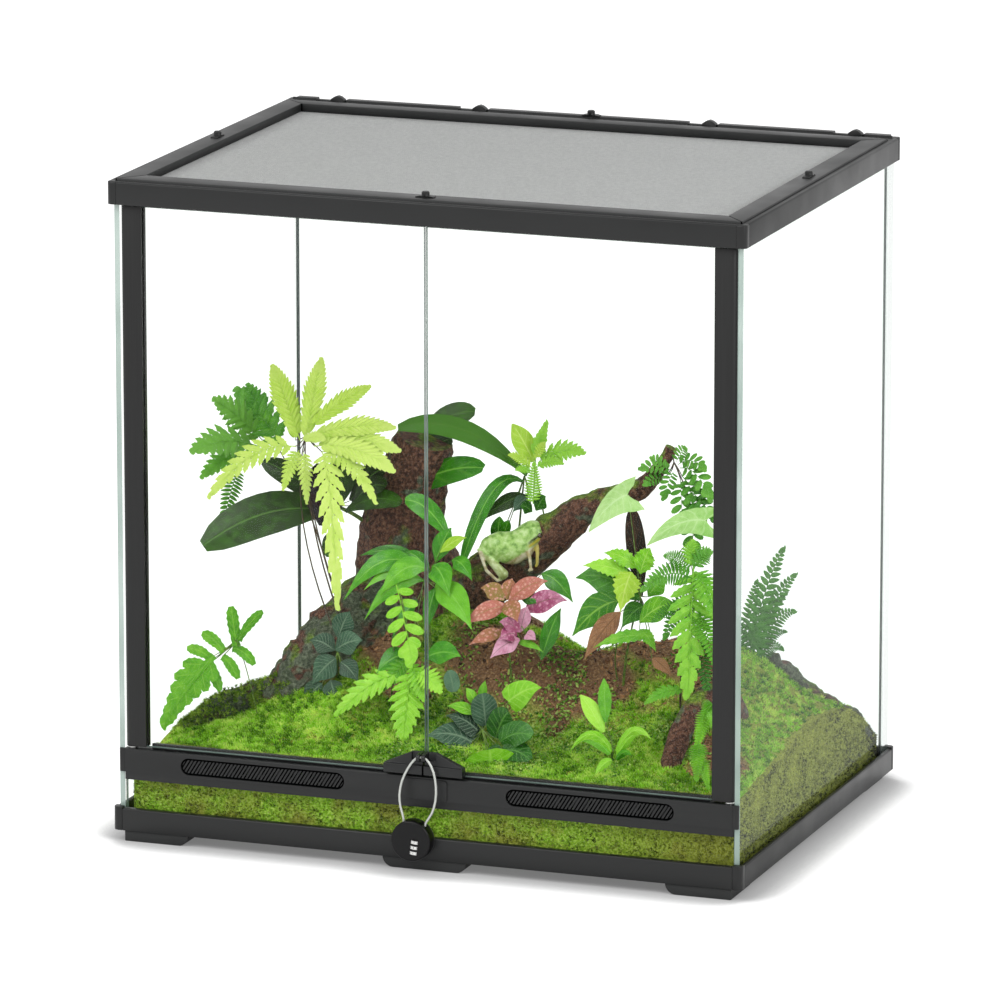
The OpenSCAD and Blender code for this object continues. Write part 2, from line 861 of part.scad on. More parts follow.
module lock_dial(i) {
    top = dial_pitch / 2 - 0.2 - i * dial_pitch;
    color("#e4e4e4") at_lock() translate([dial_x, dial_y, top - dial_t]) difference() {
        cylinder(h = dial_t, r = dial_r);
        translate([0, 0, -1]) cylinder(h = dial_t + 2, r = spindle_r + run);
        // finger grooves between the ten numbers
        for (k = [0:9]) {
            rotate([0, 0, 36 * k]) translate([dial_r + 0.3, 0, -1])
                cylinder(h = dial_t + 2, r = 0.7);
        }
    }
}

module lock_spindle() {
    dials_top = dial_pitch / 2 + 0.3;
    dials_l = 3 * dial_pitch + 0.2;
    color("#9a9a9a") at_lock() translate([dial_x, dial_y, dials_top - dials_l - 2])
        cylinder(h = dials_l + 4, r = spindle_r);
}

module lock_cable() {
    route = [for (p = smooth_line(cable_points, 3)) p - [0, depth / 2, 0]];
    radii = [for (p = route) cable_d / 2];
    color("#d8d8d4") swept(route, radii, 8);
}

// ---------- landscape ----------

module moss_mound() {
    nx = grid_x + 1;
    n = nx * (grid_y + 1);
    top = [
        for (j = [0:grid_y], i = [0:grid_x])
            let (
                x = 286.9 * (2 * i / grid_x - 1),
                y = -206.4 + (206.4 + 209.4) * j / grid_y
            )
            spot([x, y, ground(x, y)])
    ];
    x1 = room_x - soil_in;
    foot = [
        [-x1, soil_front, floor_top], [x1, soil_front, floor_top],
        [x1, soil_rear, floor_top], [-x1, soil_rear, floor_top]
    ];
    cells = [for (j = [0:grid_y - 1], i = [0:grid_x - 1]) j * nx + i];
    walls = [
        concat([for (i = [0:grid_x]) i], [n + 1, n]),
        concat([for (j = [0:grid_y]) j * nx + grid_x], [n + 2, n + 1]),
        concat([for (i = [grid_x:-1:0]) grid_y * nx + i], [n + 3, n + 2]),
        concat([for (j = [grid_y:-1:0]) j * nx], [n, n + 3])
    ];
    color("#6f9a2a") polyhedron(
        concat(top, foot),
        concat(
            [for (c = cells) [c, c + nx, c + 1]],
            [for (c = cells) [c + 1, c + nx, c + nx + 1]],
            walls,
            [[n, n + 1, n + 2, n + 3]]
        ),
        convexity = 10
    );
}

module stump() {
    color("#4a3520") swept(fitted(smooth_line(stump_line, 2)), smooth_line(stump_radii, 2), 14);
}

module mossy_log() {
    color("#54401f") swept(fitted(log_line), log_radii, 12);
}

module arch_root() {
    color("#3d2a18") swept(fitted(smooth_line(root_line, 2)), smooth_line(root_radii, 2), 8);
}

// a small tree frog sitting up, head towards +X, with its feet at the origin's level
module frog_figure() {
    s = frog_l / 70;
    scale(s) {
        hull() {
            translate([-24, 0, 14]) sphere(9, $fn = 12);
            translate([-6, 0, 17]) sphere(14, $fn = 12);
            translate([14, 0, 22]) sphere(11, $fn = 12);
        }
        hull() {
            translate([16, 0, 24]) sphere(11, $fn = 12);
            translate([29, 0, 22]) sphere(6, $fn = 12);
        }
        for (m = [0, 1]) {
            mirror([0, m, 0]) {
                translate([20, 8, 32]) sphere(4, $fn = 8);
                stem([14, 9, 16], [20, 17, 8], 6);
                stem([20, 17, 8], [28, 15, 2], 5);
                stem([-22, 8, 12], [-6, 21, 15], 9);
                stem([-6, 21, 15], [-26, 20, 6], 7);
                stem([-26, 20, 6], [-10, 24, 2], 4);
            }
        }
    }
}

module frog() {
    color("#5f8a3a") translate(spot([18, -16, 265])) rotate([0, -22, -14]) frog_figure();
}

module lime_fern() {
    crown = [-186, -34, 346];
    color("#b6dd3f") {
        plant(rooted(-142, -66), crown, [
            [[-45, 20, 50], 22, 4], [[10, 15, 64], 22, 4], [[58, 5, 46], 22, 6],
            [[84, 0, 14], 26, 8], [[82, -22, -16], 26, 8], [[-60, -50, -46], 22, 20],
            [[60, -64, -120], 24, 40]
        ]);
        stem(spot(rooted(-152, -70)), spot(crown + [-10, -4, -8]), 2.4);
        blade(crown + [-10, -4, -8], crown + [24, -36, -50], 15, 4);
    }
}

module green_fern() {
    color("#6fae2c") plant(rooted(-168, 20), [-240, 24, 326], [
        [[-42, -14, -16], 34, 12], [[-34, 22, 30], 26, 8], [[-38, -30, -78], 20, 20],
        [[-8, 30, 42], 24, 6]
    ]);
}

module dark_leaf_plant() {
    color("#2f5a24") {
        plant([-135, 10, 250], [-150, -8, 285], [
            [[-132, -24, -50], 38, 26], [[-90, 6, 24], 28, 8], [[-14, -30, -40], 20, 4],
            [[-44, -28, 18], 30, 10]
        ], 6);
        plant([-95, 20, 318], [-88, 26, 340], [
            [[42, 10, 26], 24, 6], [[64, -28, -24], 28, 12]
        ], 5);
    }
}

module strap_leaf_plant() {
    color("#3f7a2c") plant([2, 15, 246], [-4, 21, 291], [
        [[-92, -34, 66], 22, 34], [[-34, -66, -66], 18, 34], [[56, 2, 14], 16, 6]
    ]);
}

module top_fern() {
    color("#8cc63c") plant([40, 8, 270], [24, -2, 322], [
        [[-14, -4, 42], 20, 4], [[18, -6, 40], 16, 4], [[54, -12, 22], 20, 8]
    ]);
}

module orchid_leaf_plant() {
    color("#4f9a2c") plant(rooted(-52, -62), [-62, -66, 226], [
        [[-72, -12, -22], 20, 22], [[-72, 0, 10], 16, 10], [[-40, -24, -42], 16, 12],
        [[-24, 0, 28], 16, 6], [[36, -26, -32], 20, 12], [[30, -4, 28], 16, 10]
    ]);
}

module red_leaf_plant() {
    color("#8a3b4a") plant(rooted(25, -62), [24, -74, 196], [
        [[-38, -10, 2], 18, 6], [[-20, -18, -20], 18, 4], [[6, -24, -32], 20, 4],
        [[34, -14, -24], 16, 4], [[36, 4, 26], 20, 8], [[56, -4, 12], 18, 8]
    ]);
}

module maidenhair_fern() {
    color("#8ed02e") plant(rooted(-76, -104), [-70, -114, 190], [
        [[-40, -22, -78], 26, 8], [[14, -28, -96], 28, 8], [[46, -16, -60], 22, 8]
    ]);
}

module lobed_leaf_plant() {
    color("#86c52c") plant(rooted(-206, -104), [-220, -112, 182], [
        [[-60, -18, -96], 36, 6], [[18, -4, 14], 14, 2], [[-14, 0, 14], 12, 2]
    ], 2.4);
}

module vein_leaf_plant() {
    color("#3f7d33") plant(rooted(-134, -88), [-136, -94, 178], [
        [[-34, -8, -20], 22, 6], [[-18, 6, 20], 20, 6], [[24, -2, 18], 20, 6],
        [[-2, -20, -40], 22, 6]
    ]);
}

module arrow_leaf_plant() {
    color("#4f9a35") {
        plant(rooted(128, -50), [136, -58, 222], [
            [[-40, -10, 66], 26, 12], [[-8, 6, 106], 28, 6], [[68, 4, 78], 26, 12],
            [[-30, -8, 22], 26, 8], [[14, -16, 40], 30, 8]
        ]);
        blade(rooted(128, -52), [96, -66, 194], 22, 10);
        blade(rooted(132, -54), [110, -84, 160], 16, 4);
    }
}

module post_fern() {
    color("#5aa632") plant(rooted(192, -78), [196, -88, 234], [
        [[8, -24, -92], 32, 18], [[-42, -14, -4], 22, 14], [[30, -10, -12], 24, 8],
        [[10, 14, 56], 24, 8]
    ]);
}

module log_tip_fern() {
    color("#86b93a") plant([154, 0, 346], [164, -8, 358], [
        [[-4, -2, 22], 18, 2], [[-32, -6, -8], 16, 4], [[40, -14, -36], 24, 8],
        [[28, -8, 2], 20, 4]
    ]);
}

module round_leaf_plant() {
    color("#3f8a3a") plant(rooted(20, -122), [21, -132, 118], [
        [[-36, -10, -6], 26, 6], [[-22, 6, 26], 22, 6], [[46, -14, -8], 28, 6],
        [[16, 4, 30], 24, 8], [[56, 6, 22], 26, 4], [[10, -26, -30], 24, 4]
    ]);
}

module grass_plant() {
    color("#8fcf3a") plant(rooted(152, -150), [154, -156, 120], [
        [[-34, -10, -6], 11, 10], [[38, -10, 12], 13, 12], [[-30, 10, 34], 14, 6],
        [[-4, 14, 44], 12, 4], [[32, -18, -6], 10, 8]
    ]);
}

module side_fern() {
    color("#4f8f2f") plant(rooted(214, 62), [210, 66, 172], [
        [[32, 26, 82], 20, 12], [[40, 26, 52], 19, 12], [[42, 26, 22], 18, 12],
        [[32, 26, -16], 16, 10]
    ]);
}

placed() base_frame();
placed() base_corners();
placed() feet();
placed() floor_glass();
placed() left_glass();
placed() right_glass();
placed() back_glass();
placed() front_lower_glass();
placed() silicone_beads();
placed() front_rail();
placed() rail_end_caps();
placed() vent_grilles();
placed() rail_plate();
placed() top_frame();
placed() top_corners();
placed() hinge_pins();
placed() rear_peg();
placed() left_door_glass();
placed() left_hinge_profile();
placed() left_handle();
placed() right_door_glass();
placed() right_hinge_profile();
placed() right_handle();
placed() cover_frame();
placed() cover_corner_keys();
placed() cover_mesh();
placed() cover_pegs();
placed() port_shutter(0);  // port_shutter_1
placed() port_shutter(1);  // port_shutter_2
placed() port_shutter(2);  // port_shutter_3
placed() port_shutter(3);  // port_shutter_4
placed() lock_case();
placed() lock_back();
placed() lock_dial(0);  // lock_dial_1
placed() lock_dial(1);  // lock_dial_2
placed() lock_dial(2);  // lock_dial_3
placed() lock_spindle();
placed() lock_cable();
placed() moss_mound();
placed() stump();
placed() mossy_log();
placed() arch_root();
placed() frog();
placed() lime_fern();
placed() green_fern();
placed() dark_leaf_plant();
placed() strap_leaf_plant();
placed() top_fern();
placed() orchid_leaf_plant();
placed() red_leaf_plant();
placed() maidenhair_fern();
placed() lobed_leaf_plant();
placed() vein_leaf_plant();
placed() arrow_leaf_plant();
placed() post_fern();
placed() log_tip_fern();
placed() round_leaf_plant();
placed() grass_plant();
placed() side_fern();
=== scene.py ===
import math
import random

import bmesh
import bpy
from mathutils import Matrix, Vector, noise


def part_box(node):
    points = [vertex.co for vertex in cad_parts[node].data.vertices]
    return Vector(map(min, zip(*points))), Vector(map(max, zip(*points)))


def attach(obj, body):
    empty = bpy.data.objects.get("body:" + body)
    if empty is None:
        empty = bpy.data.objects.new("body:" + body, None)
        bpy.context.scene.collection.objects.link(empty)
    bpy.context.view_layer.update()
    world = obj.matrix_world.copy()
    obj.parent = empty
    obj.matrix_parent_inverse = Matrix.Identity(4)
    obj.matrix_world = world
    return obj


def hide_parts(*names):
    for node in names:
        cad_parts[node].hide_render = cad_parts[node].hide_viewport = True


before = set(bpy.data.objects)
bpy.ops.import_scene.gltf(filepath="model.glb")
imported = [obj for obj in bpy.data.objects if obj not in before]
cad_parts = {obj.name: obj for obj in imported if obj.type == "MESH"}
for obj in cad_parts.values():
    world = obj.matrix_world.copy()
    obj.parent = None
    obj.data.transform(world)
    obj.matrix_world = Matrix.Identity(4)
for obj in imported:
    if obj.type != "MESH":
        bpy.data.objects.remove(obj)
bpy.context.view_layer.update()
dice = random.Random(11)
mm = 0.001
fullTurn = 6.28  # in radians, close enough for scattered pieces
shiftY = 6.8  # the tank's middle stands this far behind the part's origin


def place(point):
    return Vector((point[0] * mm, (point[1] + shiftY) * mm, point[2] * mm))


def pickOnly(piece):
    bpy.ops.object.select_all(action="DESELECT")
    piece.select_set(True)
    bpy.context.view_layer.objects.active = piece


def newObject(name, data):
    piece = bpy.data.objects.new(name, data)
    bpy.context.scene.collection.objects.link(piece)
    return piece


# makes a mesh primitive with nothing else selected
def addShape(operator, **settings):
    bpy.ops.object.select_all(action="DESELECT")
    operator(**settings)
    return bpy.context.object


def applyModifier(piece, kind, **settings):
    modifier = piece.modifiers.new(kind.lower(), kind)
    for key, value in settings.items():
        setattr(modifier, key, value)
    pickOnly(piece)
    bpy.ops.object.modifier_apply(modifier=modifier.name)


def settle(piece):
    pickOnly(piece)
    bpy.ops.object.transform_apply(location=True, rotation=True, scale=True)


def copyOf(piece):
    twin = piece.copy()
    twin.data = piece.data.copy()
    bpy.context.scene.collection.objects.link(twin)
    return twin


def joinAll(pieces, name):
    bpy.ops.object.select_all(action="DESELECT")
    for piece in pieces:
        piece.select_set(True)
    bpy.context.view_layer.objects.active = pieces[0]
    if len(pieces) > 1:
        bpy.ops.object.join()
    pieces[0].name = name
    pieces[0].data.name = name
    return pieces[0]


def smoothBy(piece, degrees):
    pickOnly(piece)
    bpy.ops.object.shade_smooth_by_angle(angle=math.radians(degrees))


def wear(piece, *materials):
    piece.data.materials.clear()
    for material in materials:
        piece.data.materials.append(material)


def finishPiece(piece, name, body, slotName, *nodes):
    piece.name = name
    piece.data.name = name
    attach(piece, body)
    if nodes:
        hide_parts(*nodes)
    return piece


# a smooth line through points: a share from 0 to 1 along it gives a point
def smoothAt(line, index, share):
    a, b = line[max(index - 1, 0)], line[index]
    c, d = line[index + 1], line[min(index + 2, len(line) - 1)]
    return [0.5 * (2 * q + (r - p) * share + (2 * p - 5 * q + 4 * r - s) * share ** 2
                   + (3 * q - p - 3 * r + s) * share ** 3) for p, q, r, s in zip(a, b, c, d)]


def along(line, share):
    reach = share * (len(line) - 1)
    index = min(int(reach), len(line) - 2)
    return smoothAt(line, index, reach - index)


# a clean copy of a CAD node: corners merged, flat areas made one face, edges broken
def cleanCopy(node, edge=0.0, segments=2):
    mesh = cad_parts[node].data.copy()
    mesh.materials.clear()
    piece = newObject(node, mesh)
    pickOnly(piece)
    bpy.ops.object.mode_set(mode="EDIT")
    bpy.ops.mesh.select_all(action="SELECT")
    bpy.ops.mesh.remove_doubles(threshold=0.00002)
    bpy.ops.mesh.dissolve_limited(angle_limit=math.radians(0.5))
    bpy.ops.object.mode_set(mode="OBJECT")
    if edge:
        applyModifier(piece, "BEVEL", width=edge * mm, segments=segments,
                      limit_method="ANGLE", angle_limit=math.radians(32))
    smoothBy(piece, 32)
    return piece


# a clean copy of a CAD node in its material, on its body, in place of the node
def redraw(node, edge, material, name, body, slotName, segments=2):
    piece = cleanCopy(node, edge, segments)
    wear(piece, material)
    return finishPiece(piece, name, body, slotName, node)


def hexColour(code):
    channels = [int(code[i:i + 2], 16) / 255 for i in (1, 3, 5)]
    linear = [c / 12.92 if c <= 0.04045 else ((c + 0.055) / 1.055) ** 2.4 for c in channels]
    return (*linear, 1.0)


# adds a node with its settings and links: a value that is a node or a socket is linked in, and
# a colour ramp gets its stops as (place, colour) from low to high
def addNode(tree, kind, values=None, stops=()):
    node = tree.nodes.new(kind)
    for key, value in (values or {}).items():
        if isinstance(value, bpy.types.Node):
            tree.links.new(value.outputs[0], node.inputs[key])
        elif isinstance(value, bpy.types.NodeSocket):
            tree.links.new(value, node.inputs[key])
        elif isinstance(key, str) and hasattr(node, key):
            setattr(node, key, value)
        else:
            node.inputs[key].default_value = value
    for end in (0, -1) if stops else ():
        node.color_ramp.elements[end].position = stops[end][0]
        node.color_ramp.elements[end].color = hexColour(stops[end][1])
    for position, code in stops[1:-1]:
        node.color_ramp.elements.new(position).color = hexColour(code)
    return node


def newMaterial(name):
    material = bpy.data.materials.new(name)
    material.use_nodes = True
    material.node_tree.nodes.clear()
    return material, material.node_tree


# moulded plastic: a fine spark-eroded grain and slow patches of gloss
def mouldedPlastic(name, colour, paler, rough, grainMm=0.7, grainDepth=0.06, spread=0.07,
                   index=1.43):
    material, tree = newMaterial(name)
    spot = addNode(tree, "ShaderNodeTexCoord").outputs["Object"]
    grain = addNode(tree, "ShaderNodeTexNoise",
                    {"Scale": 1 / (grainMm * mm), "Detail": 2.0, "Vector": spot})
    patches = addNode(tree, "ShaderNodeTexNoise",
                      {"Scale": 1 / (60 * mm), "Detail": 3.0, "Vector": spot})
    tint = addNode(tree, "ShaderNodeValToRGB", {0: patches.outputs["Fac"]},
                   [(0.35, colour), (0.7, paler)])
    gloss = addNode(tree, "ShaderNodeMapRange",
                    {"From Min": 0.3, "From Max": 0.7, "To Min": rough - spread,
                     "To Max": rough + spread, "Value": patches.outputs["Fac"]})
    bump = addNode(tree, "ShaderNodeBump",
                   {"Strength": 0.35, "Distance": grainDepth * mm,
                    "Height": grain.outputs["Fac"]})
    shader = addNode(tree, "ShaderNodeBsdfPrincipled",
                     {"IOR": index, "Base Color": tint, "Roughness": gloss, "Normal": bump})
    addNode(tree, "ShaderNodeOutputMaterial", {"Surface": shader})
    return material


framePlastic = mouldedPlastic("ABS moulded black", "#0E0F0F", "#131414", 0.42)
cornerPlastic = mouldedPlastic("ABS moulded black, corner", "#0A0B0B", "#0F1010", 0.4)
coverPlastic = mouldedPlastic("ABS moulded black, cover bar", "#1A1B1B", "#202121", 0.45)
footPlastic = mouldedPlastic("TPE moulded grey foot", "#222323", "#292A2A", 0.6)
# near-black and almost without reflection, darker than the frame: painted shade, so that the vent
# grille reads as dark openings behind the lattice; the cover's corner keys wear it too
blackAndShadePlastic = mouldedPlastic("ABS moulded black, grille, painted shade", "#020303", "#040505", 0.7, index=1.05)
latticePlastic = mouldedPlastic("ABS moulded black, lattice", "#141515", "#1A1B1B", 0.5)
handlePlastic = mouldedPlastic("ABS moulded black, handle", "#0D0E0E", "#121313", 0.4)
lockPlastic = mouldedPlastic("PC moulded gloss black", "#060607", "#0A0A0B", 0.3, 1.2, 0.02,
                             0.05, 1.3)
# the lock's back part is dark grey, paler than the black case: a painted highlight, so that its
# rim shows as a light crescent round the lock
lockRimHighlight = mouldedPlastic("PC moulded black, rim with painted highlight", "#2A2A2C", "#343436", 0.25, 1.2, 0.02)
dialPlastic = mouldedPlastic("ABS moulded black dial", "#0C0C0D", "#101011", 0.4, 0.8, 0.02)
bandPlastic = mouldedPlastic("ABS moulded white number band", "#DCDCDA", "#E8E8E6", 0.35, 0.8,
                             0.02)
digitPaint = mouldedPlastic("printing ink grey", "#4A4A4C", "#565658", 0.5, 0.8, 0.01)


# anodised aluminium: drawn lines along the profile, a soft dark metal sheen
def anodisedBlack(name):
    material, tree = newMaterial(name)
    spot = addNode(tree, "ShaderNodeTexCoord").outputs["Object"]
    drawn = addNode(tree, "ShaderNodeMapping", {"Scale": (1, 1, 0.01), "Vector": spot})
    lines = addNode(tree, "ShaderNodeTexNoise",
                    {"Scale": 1 / (0.9 * mm), "Detail": 3.0, "Vector": drawn})
    tint = addNode(tree, "ShaderNodeValToRGB", {0: lines.outputs["Fac"]},
                   [(0.3, "#101010"), (0.7, "#161616")])
    gloss = addNode(tree, "ShaderNodeMapRange",
                    {"To Min": 0.36, "To Max": 0.52, "Value": lines.outputs["Fac"]})
    bump = addNode(tree, "ShaderNodeBump",
                   {"Strength": 0.2, "Distance": 0.02 * mm, "Height": lines.outputs["Fac"]})
    shader = addNode(tree, "ShaderNodeBsdfPrincipled",
                     {"Metallic": 0.1, "IOR": 1.43, "Base Color": tint, "Roughness": gloss,
                      "Normal": bump})
    addNode(tree, "ShaderNodeOutputMaterial", {"Surface": shader})
    return material


profileMetal = anodisedBlack("aluminium, anodised black")


# plain steel: bright, with fine scratches from handling
def steel(name, colour, rough, scratchMm):
    material, tree = newMaterial(name)
    spot = addNode(tree, "ShaderNodeTexCoord").outputs["Object"]
    marks = addNode(tree, "ShaderNodeTexNoise",
                    {"Scale": 1 / (scratchMm * mm), "Detail": 4.0, "Vector": spot})
    gloss = addNode(tree, "ShaderNodeMapRange",
                    {"To Min": rough - 0.08, "To Max": rough + 0.1,
                     "Value": marks.outputs["Fac"]})
    shader = addNode(tree, "ShaderNodeBsdfPrincipled",
                     {"Metallic": 1.0, "Base Color": hexColour(colour), "Roughness": gloss})
    addNode(tree, "ShaderNodeOutputMaterial", {"Surface": shader})
    return material


pinSteel = steel("stainless steel, turned", "#C8C8C6", 0.3, 0.6)


# woven wire: grey with a dull zinc coat, a little uneven from wire to wire
def wireMaterial(name):
    material, tree = newMaterial(name)
    spot = addNode(tree, "ShaderNodeTexCoord").outputs["Object"]
    patches = addNode(tree, "ShaderNodeTexNoise",
                      {"Scale": 1 / (3 * mm), "Detail": 1.0, "Vector": spot})
    tint = addNode(tree, "ShaderNodeValToRGB", {0: patches.outputs["Fac"]},
                   [(0.3, "#B2B3B3"), (0.7, "#C0C1C0")])
    shader = addNode(tree, "ShaderNodeBsdfPrincipled", {"Roughness": 0.6, "Base Color": tint})
    addNode(tree, "ShaderNodeOutputMaterial", {"Surface": shader})
    return material


wireSteel = wireMaterial("steel wire, zinc coated")


# float glass: clear through the faces with a weak mirror, green where light runs in the edge
def glassFace(name, tint, mirror):
    material, tree = newMaterial(name)
    fresnel = addNode(tree, "ShaderNodeFresnel", {"IOR": 1.5})
    share = addNode(tree, "ShaderNodeMath", {"operation": "MULTIPLY", 1: mirror, 0: fresnel})
    clear = addNode(tree, "ShaderNodeBsdfTransparent", {"Color": hexColour(tint)})
    gloss = addNode(tree, "ShaderNodeBsdfGlossy",
                    {"Roughness": 0.02, "Color": hexColour("#FFFFFF")})
    shader = addNode(tree, "ShaderNodeMixShader", {0: share, 1: clear, 2: gloss})
    addNode(tree, "ShaderNodeOutputMaterial", {"Surface": shader})
    return material


def glassEdge(name, deep, pale, cover=0.9):
    material, tree = newMaterial(name)
    spot = addNode(tree, "ShaderNodeTexCoord").outputs["Object"]
    drift = addNode(tree, "ShaderNodeTexNoise",
                    {"Scale": 1 / (45 * mm), "Detail": 1.0, "Vector": spot})
    tint = addNode(tree, "ShaderNodeValToRGB", {0: drift.outputs["Fac"]},
                   [(0.3, deep), (0.7, pale)])
    shader = addNode(tree, "ShaderNodeBsdfPrincipled",
                     {"Roughness": 0.12, "IOR": 1.5, "Alpha": cover, "Base Color": tint})
    addNode(tree, "ShaderNodeOutputMaterial", {"Surface": shader})
    return material


clearGlass = glassFace("float glass, face", "#FEFFFE", 0.05)
sideGlass = glassFace("float glass, side face", "#F8FAF9", 0.06)
farEdge = glassEdge("float glass, rear edge", "#B8C6C0", "#C8D4CE", 0.25)
cutEdge = glassEdge("float glass, ground edge", "#93A89F", "#AEC0B8")
doorEdge = glassEdge("float glass, dark edge", "#5E706A", "#74867F")


# silicone sealant in the rear corners, soft-edged; its dark grey is partly painted: it draws the
# dark line that the pane edges show by refraction where they meet
def siliconeMaterial(name):
    material, tree = newMaterial(name)
    spot = addNode(tree, "ShaderNodeTexCoord").outputs["Object"]
    waves = addNode(tree, "ShaderNodeTexNoise",
                    {"Scale": 1 / (8 * mm), "Detail": 2.0, "Vector": spot})
    bump = addNode(tree, "ShaderNodeBump",
                   {"Strength": 0.3, "Distance": 0.3 * mm, "Height": waves.outputs["Fac"]})
    shader = addNode(tree, "ShaderNodeBsdfPrincipled",
                     {"Base Color": hexColour("#4E5857"), "Roughness": 0.3, "Alpha": 0.9,
                      "Normal": bump})
    addNode(tree, "ShaderNodeOutputMaterial", {"Surface": shader})
    return material


sealant = siliconeMaterial("silicone sealant, grey")

print("materials of the tank are ready")

studio = dict(floorSize=40.0, world=0.52, keyWatts=95, fillWatts=85, floorGlow=0.5)


# 1 for rays that show a surface to the camera, straight on, mirrored or through glass
def seenByCamera(tree):
    path = addNode(tree, "ShaderNodeLightPath")
    seen = addNode(tree, "ShaderNodeMath",
                   {"operation": "MAXIMUM", 0: path.outputs["Is Camera Ray"],
                    1: path.outputs["Is Glossy Ray"]})
    seen = addNode(tree, "ShaderNodeMath",
                   {"operation": "MAXIMUM", 0: seen, 1: path.outputs["Is Transmission Ray"]})
    return seen


def buildStage():
    floor = addShape(bpy.ops.mesh.primitive_plane_add, size=studio["floorSize"],
                     location=(0, 0, -0.0002))
    floor.name = "studioFloor"
    material, tree = newMaterial("painted studio floor")
    share = addNode(tree, "ShaderNodeMath",
                    {"operation": "MULTIPLY", 1: studio["floorGlow"], 0: seenByCamera(tree)})
    paint = addNode(tree, "ShaderNodeBsdfDiffuse", {"Color": hexColour("#FAFAFA")})
    # white for the camera, with a painted shadow: the glow turns grey where ambient occlusion
    # finds the tank close above the floor
    paintedShadow = addNode(tree, "ShaderNodeAmbientOcclusion", {"samples": 12, "Distance": 0.06})
    level = addNode(tree, "ShaderNodeMapRange",
                    {"From Min": 0.69, "From Max": 0.89, "To Min": 0.34, "To Max": 1.75,
                     "Value": paintedShadow.outputs["AO"]})
    glow = addNode(tree, "ShaderNodeEmission", {"Color": (1, 1, 1, 1), "Strength": level})
    shader = addNode(tree, "ShaderNodeMixShader", {0: share, 1: paint, 2: glow})
    addNode(tree, "ShaderNodeOutputMaterial", {"Surface": shader})
    floor.data.materials.append(material)

    world = bpy.data.worlds.new("studio")
    bpy.context.scene.world = world
    world.use_nodes = True
    tree = world.node_tree
    tree.nodes.clear()
    level = addNode(tree, "ShaderNodeMapRange",
                    {"To Min": studio["world"], "To Max": 1.0, "Value": seenByCamera(tree)})
    sky = addNode(tree, "ShaderNodeBackground", {"Color": (1, 1, 1, 1), "Strength": level})
    addNode(tree, "ShaderNodeOutputWorld", {"Surface": sky})

    for name, spot, watts, size in (
        ("keyLamp", (-1.7, -3.2, 3.6), studio["keyWatts"], 3.0),
        ("fillLamp", (3.4, -2.0, 2.6), studio["fillWatts"], 2.6),
    ):
        bpy.ops.object.light_add(type="AREA", location=spot)
        lamp = bpy.context.object
        lamp.name = name
        lamp.data.energy = watts
        lamp.data.shape = "DISK"
        lamp.data.size = size
        aim = Vector((0, 0, 0.3)) - Vector(spot)
        lamp.rotation_euler = aim.to_track_quat("-Z", "Y").to_euler()


def buildCamera():
    shot = dict(spot=(2.506, -6.877, 1.988), azimuth=20.07, elevation=13.04, lens=297.1)
    bpy.ops.object.camera_add(
        location=shot["spot"],
        rotation=(math.radians(90 - shot["elevation"]), 0, math.radians(shot["azimuth"])),
    )
    camera = bpy.context.object
    camera.name = "shotCamera"
    camera.data.lens = shot["lens"]
    camera.data.sensor_width = 36
    camera.data.clip_end = 200
    bpy.context.scene.camera = camera


buildStage()
buildCamera()
bpy.context.scene.view_settings.view_transform = "Standard"
print("stage, lamps and camera are set")

tankPieces = [
    # node, material, slot, edge radius in mm
    ("base_frame", framePlastic, "frame", 0.5),
    ("base_corners", cornerPlastic, "frame", 0.5),
    ("feet", footPlastic, "frame_light", 0.8),
    ("front_rail", framePlastic, "frame", 0.4),
    ("rail_end_caps", cornerPlastic, "frame", 0.3),
    ("vent_grilles", blackAndShadePlastic, "frame", 0.0),
    ("rail_plate", cornerPlastic, "frame", 0.25),
    ("top_frame", framePlastic, "frame", 0.5),
    ("top_corners", cornerPlastic, "frame", 0.5),
    ("rear_peg", cornerPlastic, "frame", 0.4),
]


# the stop lip behind the doors shows as a thin line only
railLip = dict(above=92.5, lower=4.5)


def buildTank():
    for node, material, slotName, edge in tankPieces:
        piece = cleanCopy(node, edge)
        wear(piece, material)
        if node == "front_rail":
            for vertex in piece.data.vertices:
                if vertex.co.z > railLip["above"] * mm:
                    vertex.co.z -= railLip["lower"] * mm
        finishPiece(piece, node + "Shell", "tank", slotName, node)
    redraw("hinge_pins", 0.3, pinSteel, "hingePins", "tank", "steel")
    redraw("silicone_beads", 0.8, sealant, "siliconeBeads", "tank", "silicone", 3)


# fine leaning bars over each vent, cut to the rounded opening
lattice = dict(middle=156, length=155, height=12, back=1.5, thick=0.8, bar=1.6, pitch=3.5,
               lean=32)


def stadiumBlock(centre, length, height, depth):
    block = addShape(bpy.ops.mesh.primitive_cylinder_add, vertices=48, radius=height / 2,
                     depth=depth, location=centre, rotation=(math.radians(90), 0, 0))
    settle(block)
    for vertex in block.data.vertices:
        reach = vertex.co.x - centre.x
        if abs(reach) > 1e-5:
            vertex.co.x += math.copysign((length - height) / 2, reach)
    return block


